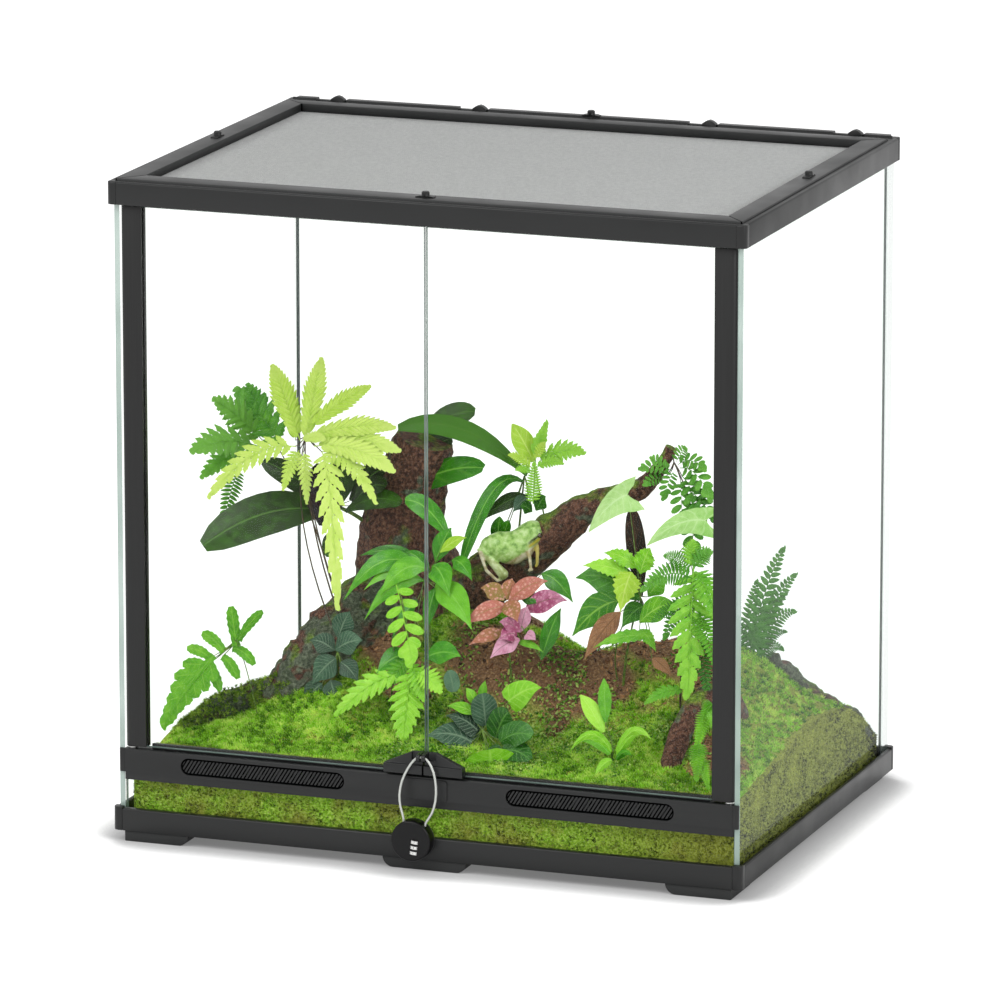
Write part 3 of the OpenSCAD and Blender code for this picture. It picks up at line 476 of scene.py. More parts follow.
def buildLattice():
    grille = bpy.data.objects["vent_grillesShell"]
    lo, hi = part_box("vent_grilles")
    for vertex in grille.data.vertices:
        if vertex.co.y < lo.y + 1.5 * mm:
            vertex.co.y += lattice["back"] * mm
    parts = []
    count = int(lattice["length"] / lattice["pitch"]) + 6
    for side in (1, -1):
        centre = Vector((side * lattice["middle"] * mm,
                         lo.y + (lattice["back"] - lattice["thick"] / 2) * mm, (lo.z + hi.z) / 2))
        start = centre - Vector(((count - 1) / 2 * lattice["pitch"] * mm, 0, 0))
        tilt = (0, math.radians(lattice["lean"]), 0)
        bars = addShape(bpy.ops.mesh.primitive_cube_add, size=1, location=start,
                        rotation=tilt,
                        scale=(lattice["bar"] * mm, lattice["thick"] * mm, 26 * mm))
        settle(bars)
        applyModifier(bars, "ARRAY", count=count, use_relative_offset=False,
                      use_constant_offset=True,
                      constant_offset_displace=(lattice["pitch"] * mm, 0, 0))
        block = stadiumBlock(centre, lattice["length"] * mm, lattice["height"] * mm, 5 * mm)
        applyModifier(bars, "BOOLEAN", operation="INTERSECT", solver="EXACT", object=block)
        bpy.data.objects.remove(block)
        parts.append(bars)
    bars = joinAll(parts, "ventLattice")
    wear(bars, latticePlastic)
    finishPiece(bars, "ventLattice", "tank", "frame")


# a pane from its CAD node: faces across the thin way are clear, the rest is edge
def pane(node, body, faceMaterial, edgeMaterial, behind=None):
    piece = cleanCopy(node, 0.4, 1)
    wear(piece, faceMaterial, edgeMaterial, behind or edgeMaterial)
    lo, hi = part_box(node)
    size = hi - lo
    thin = min(range(3), key=lambda axis: size[axis])
    for face in piece.data.polygons:
        if abs(face.normal[thin]) > 0.9:
            face.material_index = 0
        else:
            face.material_index = 1 if face.normal.y < -0.3 else 2
    return finishPiece(piece, node + "Pane", body, "glass", node)


def buildPanes():
    for node, body, face, edge, behind in (
        ("floor_glass", "tank", clearGlass, cutEdge, cutEdge),
        ("left_glass", "tank", clearGlass, cutEdge, farEdge),
        ("right_glass", "tank", sideGlass, cutEdge, farEdge),
        ("back_glass", "tank", clearGlass, farEdge, farEdge),
        ("front_lower_glass", "tank", clearGlass, doorEdge, doorEdge),
        ("left_door_glass", "left_door", clearGlass, doorEdge, doorEdge),
        ("right_door_glass", "right_door", clearGlass, doorEdge, doorEdge),
    ):
        pane(node, body, face, edge, behind)


def buildDoorMetal():
    for side in ("left", "right"):
        door = side + "_door"
        redraw(side + "_hinge_profile", 0.3, profileMetal, side + "HingeProfile", door,
               "aluminium_black")
        redraw(side + "_handle", 0.4, handlePlastic, side + "Handle", door, "frame")


def buildCover():
    for node, material, edge in (
        ("cover_frame", coverPlastic, 0.5), ("cover_corner_keys", blackAndShadePlastic, 0.2),
        ("cover_pegs", cornerPlastic, 0.4),
    ):
        redraw(node, edge, material, node + "Shell", "cover", "frame")
    for number in range(1, 5):
        redraw(f"port_shutter_{number}", 0.4, cornerPlastic, f"portShutter{number}",
               f"shutter_{number}", "frame")


# the mesh is two layers of straight wires, drawn at 1.8 mm pitch so that they show
def buildMesh():
    weave = dict(pitch=1.8, wire=0.42)
    lo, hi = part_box("cover_mesh")
    middle = (lo + hi) / 2
    quarter = math.radians(90)
    layers = []
    for axis in (0, 1):
        length = hi[axis] - lo[axis]
        across = 1 - axis
        count = int((hi[across] - lo[across]) / (weave["pitch"] * mm))
        drop = weave["wire"] * mm / 2 * (1 if axis else -1)
        start = Vector((0, 0, middle.z + drop))
        start[axis] = middle[axis]
        start[across] = lo[across] + 0.2 * mm + weave["wire"] * mm
        wire = addShape(bpy.ops.mesh.primitive_cylinder_add, vertices=4,
                        radius=weave["wire"] * mm / 2 * 1.2, depth=length, location=start,
                        rotation=(quarter, 0, 0) if axis else (0, quarter, 0))
        settle(wire)
        step = [0, 0, 0]
        step[across] = (hi[across] - lo[across] - 2 * (0.2 + weave["wire"]) * mm) / (count - 1)
        applyModifier(wire, "ARRAY", count=count, use_relative_offset=False,
                      use_constant_offset=True, constant_offset_displace=step)
        layers.append(wire)
    mesh = joinAll(layers, "coverMesh")
    wear(mesh, wireSteel)
    finishPiece(mesh, "coverMesh", "cover", "mesh", "cover_mesh")


buildTank()
buildLattice()
buildPanes()
buildDoorMetal()
buildCover()
buildMesh()
print("tank, doors and cover are built")

def vinylCable(name):
    # twisted steel strands under a clear skin: bright lines that wind round the cable, pale on
    # each strand and grey between them, partly painted highlight and shade
    material, tree = newMaterial(name)
    spot = addNode(tree, "ShaderNodeTexCoord").outputs["UV"]
    wound = addNode(tree, "ShaderNodeMapping",
                    {"Scale": (30, 1, 1), "Rotation": (0, 0, 0.6), "Vector": spot})
    strands = addNode(tree, "ShaderNodeTexWave",
                      {"Scale": 2.0, "Distortion": 0.3, "Vector": wound})
    tint = addNode(tree, "ShaderNodeValToRGB", {0: strands.outputs["Fac"]},
                   [(0.2, "#9CA09A"), (0.8, "#DCDED8")])
    bump = addNode(tree, "ShaderNodeBump",
                   {"Strength": 0.3, "Distance": 0.15 * mm, "Height": strands.outputs["Fac"]})
    shader = addNode(tree, "ShaderNodeBsdfPrincipled",
                     {"Metallic": 0.35, "Roughness": 0.35, "Coat Weight": 0.5,
                      "Coat Roughness": 0.1, "Base Color": tint, "Normal": bump})
    addNode(tree, "ShaderNodeOutputMaterial", {"Surface": shader})
    return material


dialSet = dict(x=4, y=-8.3, pitch=5, radius=5, band=2.7, lean=6.5, lockX=-7.6, lockY=-225.3,
               lockZ=29.5)
# the loop of cable from the lock through both handle ears and back, x, y, z in mm
cableLine = [
    (-16.4, -231.5, 42.6), (-16.1, -231.4, 48.6), (-19.2, -231, 59), (-20.3, -230.6, 70),
    (-18, -230.1, 83), (-12.4, -229.5, 95), (-7, -229.1, 102.5), (-2.8, -229, 105.2),
    (2.6, -229, 105.2), (7.2, -229.1, 101.8), (11.8, -229.5, 93), (14.3, -230.1, 80),
    (13.8, -230.6, 66.5), (10.6, -231, 55.5), (5, -231.4, 46.4), (3.9, -231.5, 40.3),
]


def atLock(point):
    turn = Matrix.Rotation(math.radians(dialSet["lean"]), 4, "Y")
    spot = turn @ Vector(point)
    return place(spot + Vector((dialSet["lockX"], dialSet["lockY"], dialSet["lockZ"])))


def buildDial(number):
    body = f"dial_{number}"
    redraw(f"lock_dial_{number}", 0.12, dialPlastic, f"lockDial{number}", body, "dial_white")
    level = -dialSet["pitch"] * (number - 1)
    tilt = (0, math.radians(dialSet["lean"]), 0)
    band = addShape(bpy.ops.mesh.primitive_cylinder_add, vertices=40,
                    radius=(dialSet["radius"] + 0.03) * mm, depth=dialSet["band"] * mm,
                    location=atLock((dialSet["x"], dialSet["y"], level)), rotation=tilt,
                    end_fill_type="NOTHING")
    settle(band)
    applyModifier(band, "SOLIDIFY", thickness=0.3 * mm, offset=-1)
    smoothBy(band, 40)
    wear(band, bandPlastic)
    finishPiece(band, f"numberBand{number}", body, "dial_white")
    digits = []
    for digit in range(10):
        bpy.ops.object.select_all(action="DESELECT")
        bpy.ops.object.text_add()
        figure = bpy.context.object
        figure.data.body = str(digit)
        figure.data.align_x = "CENTER"
        figure.data.align_y = "CENTER"
        figure.data.size = 2.6
        figure.data.extrude = 0.03
        figure.data.resolution_u = 2
        bpy.ops.object.convert(target="MESH")
        figure = bpy.context.object
        turn = Matrix.Rotation(math.radians(36 * (digit + 3 * number)), 4, "Z")
        front = Matrix.Translation((0, -dialSet["radius"] - 0.05, 0)) @ Matrix.Rotation(
            math.radians(90), 4, "X")
        lean = Matrix.Rotation(math.radians(dialSet["lean"]), 4, "Y")
        seat = Matrix.Translation(atLock((dialSet["x"], dialSet["y"], level)))
        figure.data.transform(seat @ lean @ Matrix.Scale(mm, 4) @ turn @ front)
        digits.append(figure)
    figures = joinAll(digits, f"dialFigures{number}")
    wear(figures, digitPaint)
    finishPiece(figures, f"dialFigures{number}", body, "dial_white")


def buildCable():
    curve = bpy.data.curves.new("lockCable", "CURVE")
    curve.dimensions = "3D"
    curve.bevel_depth = 1.1 * mm
    curve.bevel_resolution = 3
    count = (len(cableLine) - 1) * 2
    points = [place(along(cableLine, index / count)) for index in range(count + 1)]
    spline = curve.splines.new("POLY")
    spline.points.add(count)
    for spot, point in zip(spline.points, points):
        spot.co = (*point, 1)
    spline.use_smooth = True
    cable = newObject("lockCable", curve)
    curve.materials.append(vinylCable("steel cable in clear vinyl"))
    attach(cable, "lock")
    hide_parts("lock_cable")


def buildLock():
    for node, edge, plastic in (("lock_case", 0.7, lockPlastic), ("lock_back", 0.3, lockRimHighlight)):
        redraw(node, edge, plastic, node + "Shell", "lock", "lock_black", 3)
    redraw("lock_spindle", 0.1, pinSteel, "lockSpindle", "lock", "steel")
    for number in range(1, 4):
        buildDial(number)
    buildCable()


buildLock()
print("lock is built")

bed = dict(halfWidth=286.9, front=-206.4, rear=209.4, foot=19.5, level=80.0, columns=170,
           rows=124, lump=3.0, lumpMm=26, crumb=1.3, crumbMm=7)
hills = [
    # x, y, height, reach along x, reach along y, in mm
    (-50, 35, 105, 125, 120), (-150, -45, 55, 75, 75), (190, 15, 85, 85, 130),
    (295, 235, -45, 70, 65), (-295, 125, -30, 100, 135), (40, -35, 35, 80, 40),
    (-295, -215, -25, 70, 65), (112, 5, 24, 46, 50), (-185, -60, -14, 70, 45),
]
soilPatches = [
    # x, y, reach along x, reach along y: where bare soil shows between the moss
    (85, -42, 92, 70), (150, 10, 75, 60), (10, -50, 72, 58), (-40, 60, 90, 60),
    (-70, -80, 50, 30), (238, -118, 42, 46), (-130, -35, 45, 40), (195, -30, 40, 45),
    (-235, -60, 40, 16), (-100, -45, 42, 40), (-150, -75, 30, 22),
]


def ground(x, y):
    height = bed["level"]
    for cx, cy, lift, rx, ry in hills:
        height += lift * math.exp(-((x - cx) / rx) ** 2 - ((y - cy) / ry) ** 2)
    return height


def bareness(x, y):
    share = 0
    for cx, cy, rx, ry in soilPatches:
        share = max(share, math.exp(-((x - cx) / rx) ** 2 - ((y - cy) / ry) ** 2))
    ragged = noise.noise(Vector((x / 22, y / 22, 3.1))) * 0.35
    return min(1, max(0, (share + ragged - 0.42) * 3.2))


def lumpy(x, y, z):
    point = Vector((x, y, z))
    return (bed["lump"] * noise.fractal(point / bed["lumpMm"], 1.0, 2.0, 3)
            + bed["crumb"] * noise.noise(point / bed["crumbMm"]))


def mossMaterial(name):
    # sheet moss and peat: matte, fine and uneven, lighter where the tips stand up
    material, tree = newMaterial(name)
    spot = addNode(tree, "ShaderNodeTexCoord").outputs["Object"]
    fine = addNode(tree, "ShaderNodeTexNoise",
                   {"Scale": 1 / (2.2 * mm), "Detail": 4.0, "Roughness": 0.7, "Vector": spot})
    wide = addNode(tree, "ShaderNodeTexNoise",
                   {"Scale": 1 / (38 * mm), "Detail": 3.0, "Vector": spot})
    green = addNode(tree, "ShaderNodeValToRGB", {0: fine.outputs["Fac"]},
                    [(0.3, "#3A6808"), (0.5, "#94CC26"), (0.66, "#D8F670")])
    olive = addNode(tree, "ShaderNodeValToRGB", {0: fine.outputs["Fac"]},
                    [(0.3, "#3E460E"), (0.5, "#949C30"), (0.7, "#B4BC58")])
    patch = addNode(tree, "ShaderNodeMapRange",
                    {"From Min": 0.42, "From Max": 0.62, "Value": wide.outputs["Fac"]})
    # olive also over the right part of the bed, where x runs from 0.1 to 0.26 m; this mask
    # follows x only
    across = addNode(tree, "ShaderNodeSeparateXYZ", {0: spot})
    dry = addNode(tree, "ShaderNodeMapRange",
                  {"From Min": 0.1, "From Max": 0.26, "Value": across})
    patch = addNode(tree, "ShaderNodeMath", {"operation": "MAXIMUM", 0: patch, 1: dry})
    moss = addNode(tree, "ShaderNodeMix", {"data_type": "RGBA", 0: patch, 6: green, 7: olive})
    soil = addNode(tree, "ShaderNodeValToRGB", {0: fine.outputs["Fac"]},
                   [(0.3, "#3A261A"), (0.5, "#7C5A3E"), (0.72, "#BC9468")])
    bare = addNode(tree, "ShaderNodeAttribute", {"attribute_name": "bare"})
    tint = addNode(tree, "ShaderNodeMix",
                   {"data_type": "RGBA", 0: bare.outputs["Fac"], 6: moss.outputs[2], 7: soil})
    bump = addNode(tree, "ShaderNodeBump",
                   {"Strength": 0.9, "Distance": 1.2 * mm, "Height": fine.outputs["Fac"]})
    shader = addNode(tree, "ShaderNodeBsdfPrincipled",
                     {"Roughness": 0.9, "Base Color": tint.outputs[2], "Normal": bump})
    addNode(tree, "ShaderNodeOutputMaterial", {"Surface": shader})
    return material


def buildBed():
    piece = addShape(bpy.ops.mesh.primitive_grid_add, x_subdivisions=bed["columns"],
                     y_subdivisions=bed["rows"], size=1, location=(0, 0, 0))
    width = 2 * bed["halfWidth"]
    depth = bed["rear"] - bed["front"]
    mesh = piece.data
    bare = mesh.attributes.new("bare", "FLOAT", "POINT")
    for vertex in mesh.vertices:
        x = vertex.co.x * width
        y = bed["front"] + (vertex.co.y + 0.5) * depth
        edge = min(1, (0.5 - abs(vertex.co.x)) * 60, (0.5 - abs(vertex.co.y)) * 60)
        z = ground(x, y)
        vertex.co = place((x, y, z + lumpy(x, y, z) * edge))
        bare.data[vertex.index].value = bareness(x, y)
    pickOnly(piece)
    bpy.ops.object.mode_set(mode="EDIT")
    cage = bmesh.from_edit_mesh(mesh)
    bpy.ops.mesh.select_all(action="DESELECT")
    for edge in cage.edges:
        edge.select_set(edge.is_boundary)
    cage.select_flush(True)
    foot = (bed["foot"] + 0.1) * mm
    bpy.ops.mesh.extrude_edges_move()
    cage = bmesh.from_edit_mesh(mesh)
    for vertex in cage.verts:
        if vertex.select:
            vertex.co.z = foot
    bmesh.update_edit_mesh(mesh)
    bpy.ops.mesh.edge_face_add()
    bpy.ops.mesh.select_all(action="SELECT")
    bpy.ops.mesh.normals_make_consistent(inside=False)
    bpy.ops.object.mode_set(mode="OBJECT")
    smoothBy(piece, 60)
    return piece


# one tuft of moss: short three-sided blades that lean out from a point
def mossTuft(blades, height, spread):
    parts = []
    for number in range(blades):
        turn = 2 * math.pi * number / blades
        blade = addShape(bpy.ops.mesh.primitive_cone_add, vertices=3, radius1=0.7, radius2=0,
                         depth=height, location=(0, 0, height / 2), end_fill_type="NOTHING")
        lean = Matrix.Rotation(spread * (0.6 + 0.4 * (number % 2)), 4, "Y")
        blade.data.transform(blade.matrix_basis)
        blade.matrix_basis = Matrix.Identity(4)
        blade.data.transform(Matrix.Rotation(turn, 4, "Z") @ lean)
        parts.append(blade)
    return joinAll(parts, "mossTuft")


# many small copies of one shape, written into one mesh
def scatter(shape, spots, name):
    base = [vertex.co.copy() for vertex in shape.data.vertices]
    faces = [tuple(face.vertices) for face in shape.data.polygons]
    vertices, polygons, tones = [], [], []
    for point, up, size, turn, tone in spots:
        first = len(vertices)
        frameOf = up.to_track_quat("Z", "Y").to_matrix() @ Matrix.Rotation(turn, 3, "Z")
        frameOf = frameOf * (size * mm)
        vertices += [point + frameOf @ co for co in base]
        polygons += [tuple(first + index for index in face) for face in faces]
        tones += [tone] * len(base)
    mesh = bpy.data.meshes.new(name)
    mesh.from_pydata(vertices, [], polygons)
    attribute = mesh.attributes.new("tone", "FLOAT", "POINT")
    attribute.data.foreach_set("value", tones)
    piece = newObject(name, mesh)
    return piece


def tuftMaterial(name, dark, middle, light):
    # living moss tips: matte, each tuft a little greener or yellower than the next
    material, tree = newMaterial(name)
    tone = addNode(tree, "ShaderNodeAttribute", {"attribute_name": "tone"})
    spot = addNode(tree, "ShaderNodeTexCoord").outputs["Object"]
    grain = addNode(tree, "ShaderNodeTexNoise",
                    {"Scale": 1 / (9 * mm), "Detail": 2.0, "Vector": spot})
    level = addNode(tree, "ShaderNodeMath",
                    {"operation": "MULTIPLY_ADD", 1: 0.6, 2: -0.3, 0: grain.outputs["Fac"]})
    level = addNode(tree, "ShaderNodeMath",
                    {"operation": "ADD", 0: level, 1: tone.outputs["Fac"]})
    tint = addNode(tree, "ShaderNodeValToRGB", {0: level},
                   [(0.05, dark), (0.5, middle), (0.95, light)])
    skin = addNode(tree, "ShaderNodeBsdfPrincipled", {"Roughness": 0.75, "Base Color": tint})
    through = addNode(tree, "ShaderNodeBsdfTranslucent", {0: tint})
    shader = addNode(tree, "ShaderNodeMixShader", {0: 0.4, 1: skin, 2: through})
    addNode(tree, "ShaderNodeOutputMaterial", {"Surface": shader})
    return material


def surfaceNormal(x, y):
    step = 3
    dx = (ground(x + step, y) - ground(x - step, y)) / (2 * step)
    dy = (ground(x, y + step) - ground(x, y - step)) / (2 * step)
    return Vector((-dx, -dy, 1)).normalized()


tuftForm = dict(blades=5, height=4.6, spread=0.8)
tufts = dict(count=22000, margin=4, size=(0.6, 1.25), carpets=4)
litter = dict(count=1500, size=(2.0, 6.5))
leaflets = dict(count=4000, size=(1.8, 4.0))


# a point of the moss bed with its height, where the crumbs of the surface are counted in
def onBed(x, y, lift=0.0):
    z = ground(x, y)
    return place((x, y, z + lumpy(x, y, z) + lift))


def chipShape(name, columns, rows, curl):
    piece = addShape(bpy.ops.mesh.primitive_grid_add, x_subdivisions=columns, y_subdivisions=rows,
                     size=1)
    piece.name = name
    for vertex in piece.data.vertices:
        x, y = vertex.co.x, vertex.co.y
        vertex.co.y *= math.cos(math.pi * x * 0.9) * 0.62
        vertex.co.z = curl * (x * x * 2 - abs(y))
    return piece


def buildMoss():
    piece = buildBed()
    wear(piece, mossMaterial("sheet moss on peat"))
    finishPiece(piece, "mossBed", "tank", "moss", "moss_mound")
    tuft = mossTuft(**tuftForm)
    reach = bed["halfWidth"] - tufts["margin"]
    carpets = [[] for _ in range(tufts["carpets"])]
    while sum(map(len, carpets)) < tufts["count"]:
        x = dice.uniform(-reach, reach)
        y = dice.uniform(bed["front"] + tufts["margin"], bed["rear"] - tufts["margin"])
        nearFront = dice.random() < 0.2 + 0.8 * max(0, (60 - y) / 260)
        if not nearFront or bareness(x, y) > dice.random() * 0.8:
            continue
        tone = 0.5 + 0.5 * noise.noise(Vector((x, y, 0)) / 30) + dice.uniform(-0.45, 0.4)
        strip = min(tufts["carpets"] - 1, int((x + reach) / (2 * reach) * tufts["carpets"]))
        carpets[strip].append((onBed(x, y, -0.8),
                               (surfaceNormal(x, y) + Vector((0, 0, 0.5))).normalized(),
                               dice.uniform(*tufts["size"]), dice.uniform(0, fullTurn), tone))
    tips = tuftMaterial("moss tips, living", "#4A8408", "#B4EC34", "#F2FF90")
    for number, spots in enumerate(carpets):
        carpet = scatter(tuft, spots, f"mossTufts{number}")
        wear(carpet, tips)
        finishPiece(carpet, f"mossTufts{number}", "tank", "moss")
    buildWallMoss(tuft)
    bpy.data.objects.remove(tuft)


# moss pressed against the panes, and a fringe of it over the back of the rail
wallMoss = dict(count=9000, stand=0.8, size=(0.5, 0.85), fringe=1700)


def buildWallMoss(tuft):
    half = bed["halfWidth"]
    front, side, fringe = [], [], []
    for number in range(wallMoss["count"]):
        onFront = number % 2 == 0
        if onFront:
            x, y, out = dice.uniform(-half, half), bed["front"], Vector((0, -1, 0))
        else:
            x, y, out = half, dice.uniform(bed["front"], bed["rear"]), Vector((1, 0, 0))
        z = bed["foot"] + (ground(x, y) - bed["foot"]) * dice.random()
        lean = Vector([dice.uniform(-1.3, 1.3) for _ in range(3)])
        way = (lean - out * lean.dot(out) + out * 0.35 + Vector((0, 0, 0.5))).normalized()
        patch = noise.noise(Vector((x / 26, y / 26, z / 20)))
        dark = 0.5 * max(0, 1 - (z - bed["foot"]) / 45)
        tone = 0.5 + 0.75 * patch - dark + dice.uniform(-0.3, 0.3)
        spot = (place((x, y, z)) - out * wallMoss["stand"] * mm, way,
                dice.uniform(*wallMoss["size"]), dice.uniform(0, fullTurn), tone)
        (front if onFront else side).append(spot)
    for _ in range(wallMoss["fringe"]):
        x, y = dice.uniform(-268, 268), dice.uniform(bed["front"] - 1.5, bed["front"] + 5)
        way = Vector((dice.uniform(-0.5, 0.5), dice.uniform(-0.3, 0.3), 1)).normalized()
        level = max(ground(x, y), 86.5)
        fringe.append((place((x, y, level)), way, dice.uniform(0.5, 1.0),
                       dice.uniform(0, fullTurn), 0.5 + dice.uniform(-0.3, 0.4)))
    tips = tuftMaterial("moss strands behind glass", "#2E340C", "#868E30", "#DCE07C")
    for name, spots in (("mossFront", front), ("mossSide", side), ("mossFringe", fringe)):
        carpet = scatter(tuft, spots, name)
        wear(carpet, tips)
        finishPiece(carpet, name, "tank", "moss")


def buildGroundCover():
    chip = chipShape("litterChip", 3, 2, 0.35)
    spots = []
    while len(spots) < litter["count"]:
        x, y = dice.uniform(-120, 270), dice.uniform(-190, 60)
        if bareness(x, y) < dice.uniform(0.25, 1.0):
            continue
        up = surfaceNormal(x, y) + Vector([dice.uniform(-0.5, 0.5) for _ in range(3)])
        spots.append((onBed(x, y, 0.6), up.normalized(), dice.uniform(*litter["size"]),
                      dice.uniform(0, fullTurn), dice.random()))
    flakes = scatter(chip, spots, "leafLitter")
    applyModifier(flakes, "SOLIDIFY", thickness=0.3 * mm)
    wear(flakes, tuftMaterial("leaf litter, dry", "#3A2418", "#8E6244", "#DCA878"))
    finishPiece(flakes, "leafLitter", "tank", "wood")
    spots = []
    while len(spots) < leaflets["count"]:
        x, y = dice.uniform(-60, 250), dice.uniform(-200, 10)
        patch = noise.noise(Vector((x / 34, y / 34, 7.7)))
        patch += 0.8 * math.exp(-((x - 62) / 42) ** 2 - ((y + 112) / 32) ** 2)
        if patch < dice.uniform(-0.15, 0.3):
            continue
        up = surfaceNormal(x, y) + Vector([dice.uniform(-0.6, 0.6) for _ in range(3)])
        spots.append((onBed(x, y, dice.uniform(1.5, 4.5)), up.normalized(),
                      dice.uniform(*leaflets["size"]), dice.uniform(0, fullTurn), dice.random()))
    creepers = scatter(chip, spots, "creepingLeaflets")
    applyModifier(creepers, "SOLIDIFY", thickness=0.25 * mm)
    wear(creepers, tuftMaterial("creeping leaflets", "#3E7A1A", "#8CC63E", "#DCEC8C"))
    finishPiece(creepers, "creepingLeaflets", "tank", "moss")
    bpy.data.objects.remove(chip)


buildMoss()
buildGroundCover()
print("moss bed is built")

# a round piece of bark along a line of (x, y, z, radius): a cylinder cut into rings, then bent
def barkTube(name, line, sides, rings, rough, seed, flare=0.0):
    piece = addShape(bpy.ops.mesh.primitive_cylinder_add, vertices=sides, radius=1, depth=1,
                     location=(0, 0, 0.5), end_fill_type="TRIFAN")
    settle(piece)
    bpy.ops.object.mode_set(mode="EDIT")
    cage = bmesh.from_edit_mesh(piece.data)
    bpy.ops.mesh.select_all(action="DESELECT")
    for edge in cage.edges:
        low, high = edge.verts
        edge.select_set(abs(low.co.z - high.co.z) > 0.5)
    bmesh.update_edit_mesh(piece.data)
    bpy.ops.mesh.subdivide_edgering(number_cuts=rings, smoothness=0)
    bpy.ops.object.mode_set(mode="OBJECT")
    for vertex in piece.data.vertices:
        share = min(1, max(0, vertex.co.z))
        x, y, z, radius = along(line, share)
        ahead = Vector(along(line, min(1, share + 0.02))[:3])
        behind = Vector(along(line, max(0, share - 0.02))[:3])
        way = (ahead - behind).normalized()
        side = way.cross(Vector((0, 1, 0))).normalized()
        back = way.cross(side)
        outward = side * vertex.co.x + back * vertex.co.y
        turn = math.atan2(vertex.co.y, vertex.co.x)
        swell = 1 + flare * (1 - share) ** 3 * (0.6 + 0.4 * math.sin(3 * turn + seed))
        skin = outward * radius * swell
        core = Vector((x, y, z))
        ridge = noise.noise(Vector((skin.x / 9, skin.y / 9, share * 2.2 + seed)))
        plate = noise.fractal((core + skin) / 14 + Vector((seed, 0, 0)), 1.0, 2.0, 3)
        depth = rough * (0.6 * (1 - abs(ridge) * 2) + 0.9 * plate)
        if outward.length > 0.5:
            skin += outward.normalized() * depth * min(1, radius / 12)
        vertex.co = place(core + skin)
    smoothBy(piece, 50)
    return piece


def barkMaterial(name, mossiness, lichenFrom=0.58):
    # old bark and cork: dark furrows, dry brown ridges, moss and grey lichen on what faces up
    material, tree = newMaterial(name)
    spot = addNode(tree, "ShaderNodeTexCoord").outputs["Object"]
    fine = addNode(tree, "ShaderNodeTexNoise",
                   {"Scale": 1 / (3.5 * mm), "Detail": 6.0, "Roughness": 0.75, "Vector": spot})
    wide = addNode(tree, "ShaderNodeTexNoise",
                   {"Scale": 1 / (24 * mm), "Detail": 3.0, "Vector": spot})
    wood = addNode(tree, "ShaderNodeValToRGB", {0: fine.outputs["Fac"]},
                   [(0.3, "#140C09"), (0.46, "#44291F"), (0.58, "#7A5240"), (0.74, "#A88066")])
    lichen = addNode(tree, "ShaderNodeValToRGB", {0: fine.outputs["Fac"]},
                     [(0.3, "#1A1E16"), (0.48, "#4C5442"), (0.7, "#8E967C")])
    moss = addNode(tree, "ShaderNodeValToRGB", {0: fine.outputs["Fac"]},
                   [(0.3, "#243208"), (0.5, "#5C7A1C"), (0.7, "#9CB83C")])
    facing = addNode(tree, "ShaderNodeNewGeometry")
    upward = addNode(tree, "ShaderNodeSeparateXYZ", {0: facing.outputs["Normal"]})
    lift = addNode(tree, "ShaderNodeMath",
                   {"operation": "MULTIPLY_ADD", 1: 0.22, 2: mossiness, 0: upward.outputs[2]})
    level = addNode(tree, "ShaderNodeMath", {"operation": "ADD", 0: lift, 1: wide.outputs["Fac"]})
    grown = addNode(tree, "ShaderNodeMapRange",
                    {"From Min": 0.55, "From Max": 0.68, "Value": level})
    pale = addNode(tree, "ShaderNodeTexNoise",
                   {"noise_dimensions": "4D", "W": 2.0, "Scale": 1 / (17 * mm), "Vector": spot})
    spots = addNode(tree, "ShaderNodeMapRange",
                    {"From Min": lichenFrom, "From Max": lichenFrom + 0.07,
                     "Value": pale.outputs["Fac"]})
    tint = addNode(tree, "ShaderNodeMix", {"data_type": "RGBA", 0: spots, 6: wood, 7: lichen})
    tint = addNode(tree, "ShaderNodeMix",
                   {"data_type": "RGBA", 0: grown, 6: tint.outputs[2], 7: moss})
    bump = addNode(tree, "ShaderNodeBump",
                   {"Strength": 0.9, "Distance": 1.5 * mm, "Height": fine.outputs["Fac"]})
    shader = addNode(tree, "ShaderNodeBsdfPrincipled",
                     {"Roughness": 0.85, "Base Color": tint.outputs[2], "Normal": bump})
    addNode(tree, "ShaderNodeOutputMaterial", {"Surface": shader})
    return material


# x, y, z and radius in mm; the stump's points and most of the log's were pasted in as well
stumpLine = [(-84, 38, 148, 66), (-104, 32, 181, 58), (-111, 28, 214, 46), (-113, 25, 254, 38),
             (-103, 23, 295, 31), (-90, 20, 338, 25)]
shoulderLine = [(-108, 26, 220, 22), (-122, 0, 186, 32), (-140, -26, 156, 38),
                (-158, -48, 128, 40), (-183, -60, 106, 30), (-217, -66, 90, 17)]
rimLine = [(-205, -58, 98, 16), (-232, -70, 100, 11), (-254, -86, 92, 9), (-268, -100, 82, 8),
           (-280, -116, 72, 6)]
logLine = [(-62, 22, 190, 24), (-22, 12, 214, 25), (15, 6, 240, 22), (47, 0, 266, 18),
           (70, 0, 286, 14), (93, 0, 299, 11), (126, 0, 312, 9), (145, 0, 333, 6),
           (156, 0, 352, 5)]
rootLine = [(236, -45, 114, 12), (232, -70, 142, 12), (222, -98, 147, 11), (212, -124, 129, 10),
            (207, -146, 99, 9), (206, -160, 70, 9)]
ridgeLine = [(223, 80, 138, 8), (237, 100, 119, 8), (250, 115, 105, 8), (264, 125, 92, 7),
             (273, 150, 77, 7), (277, 175, 60, 7), (278, 200, 42, 5)]


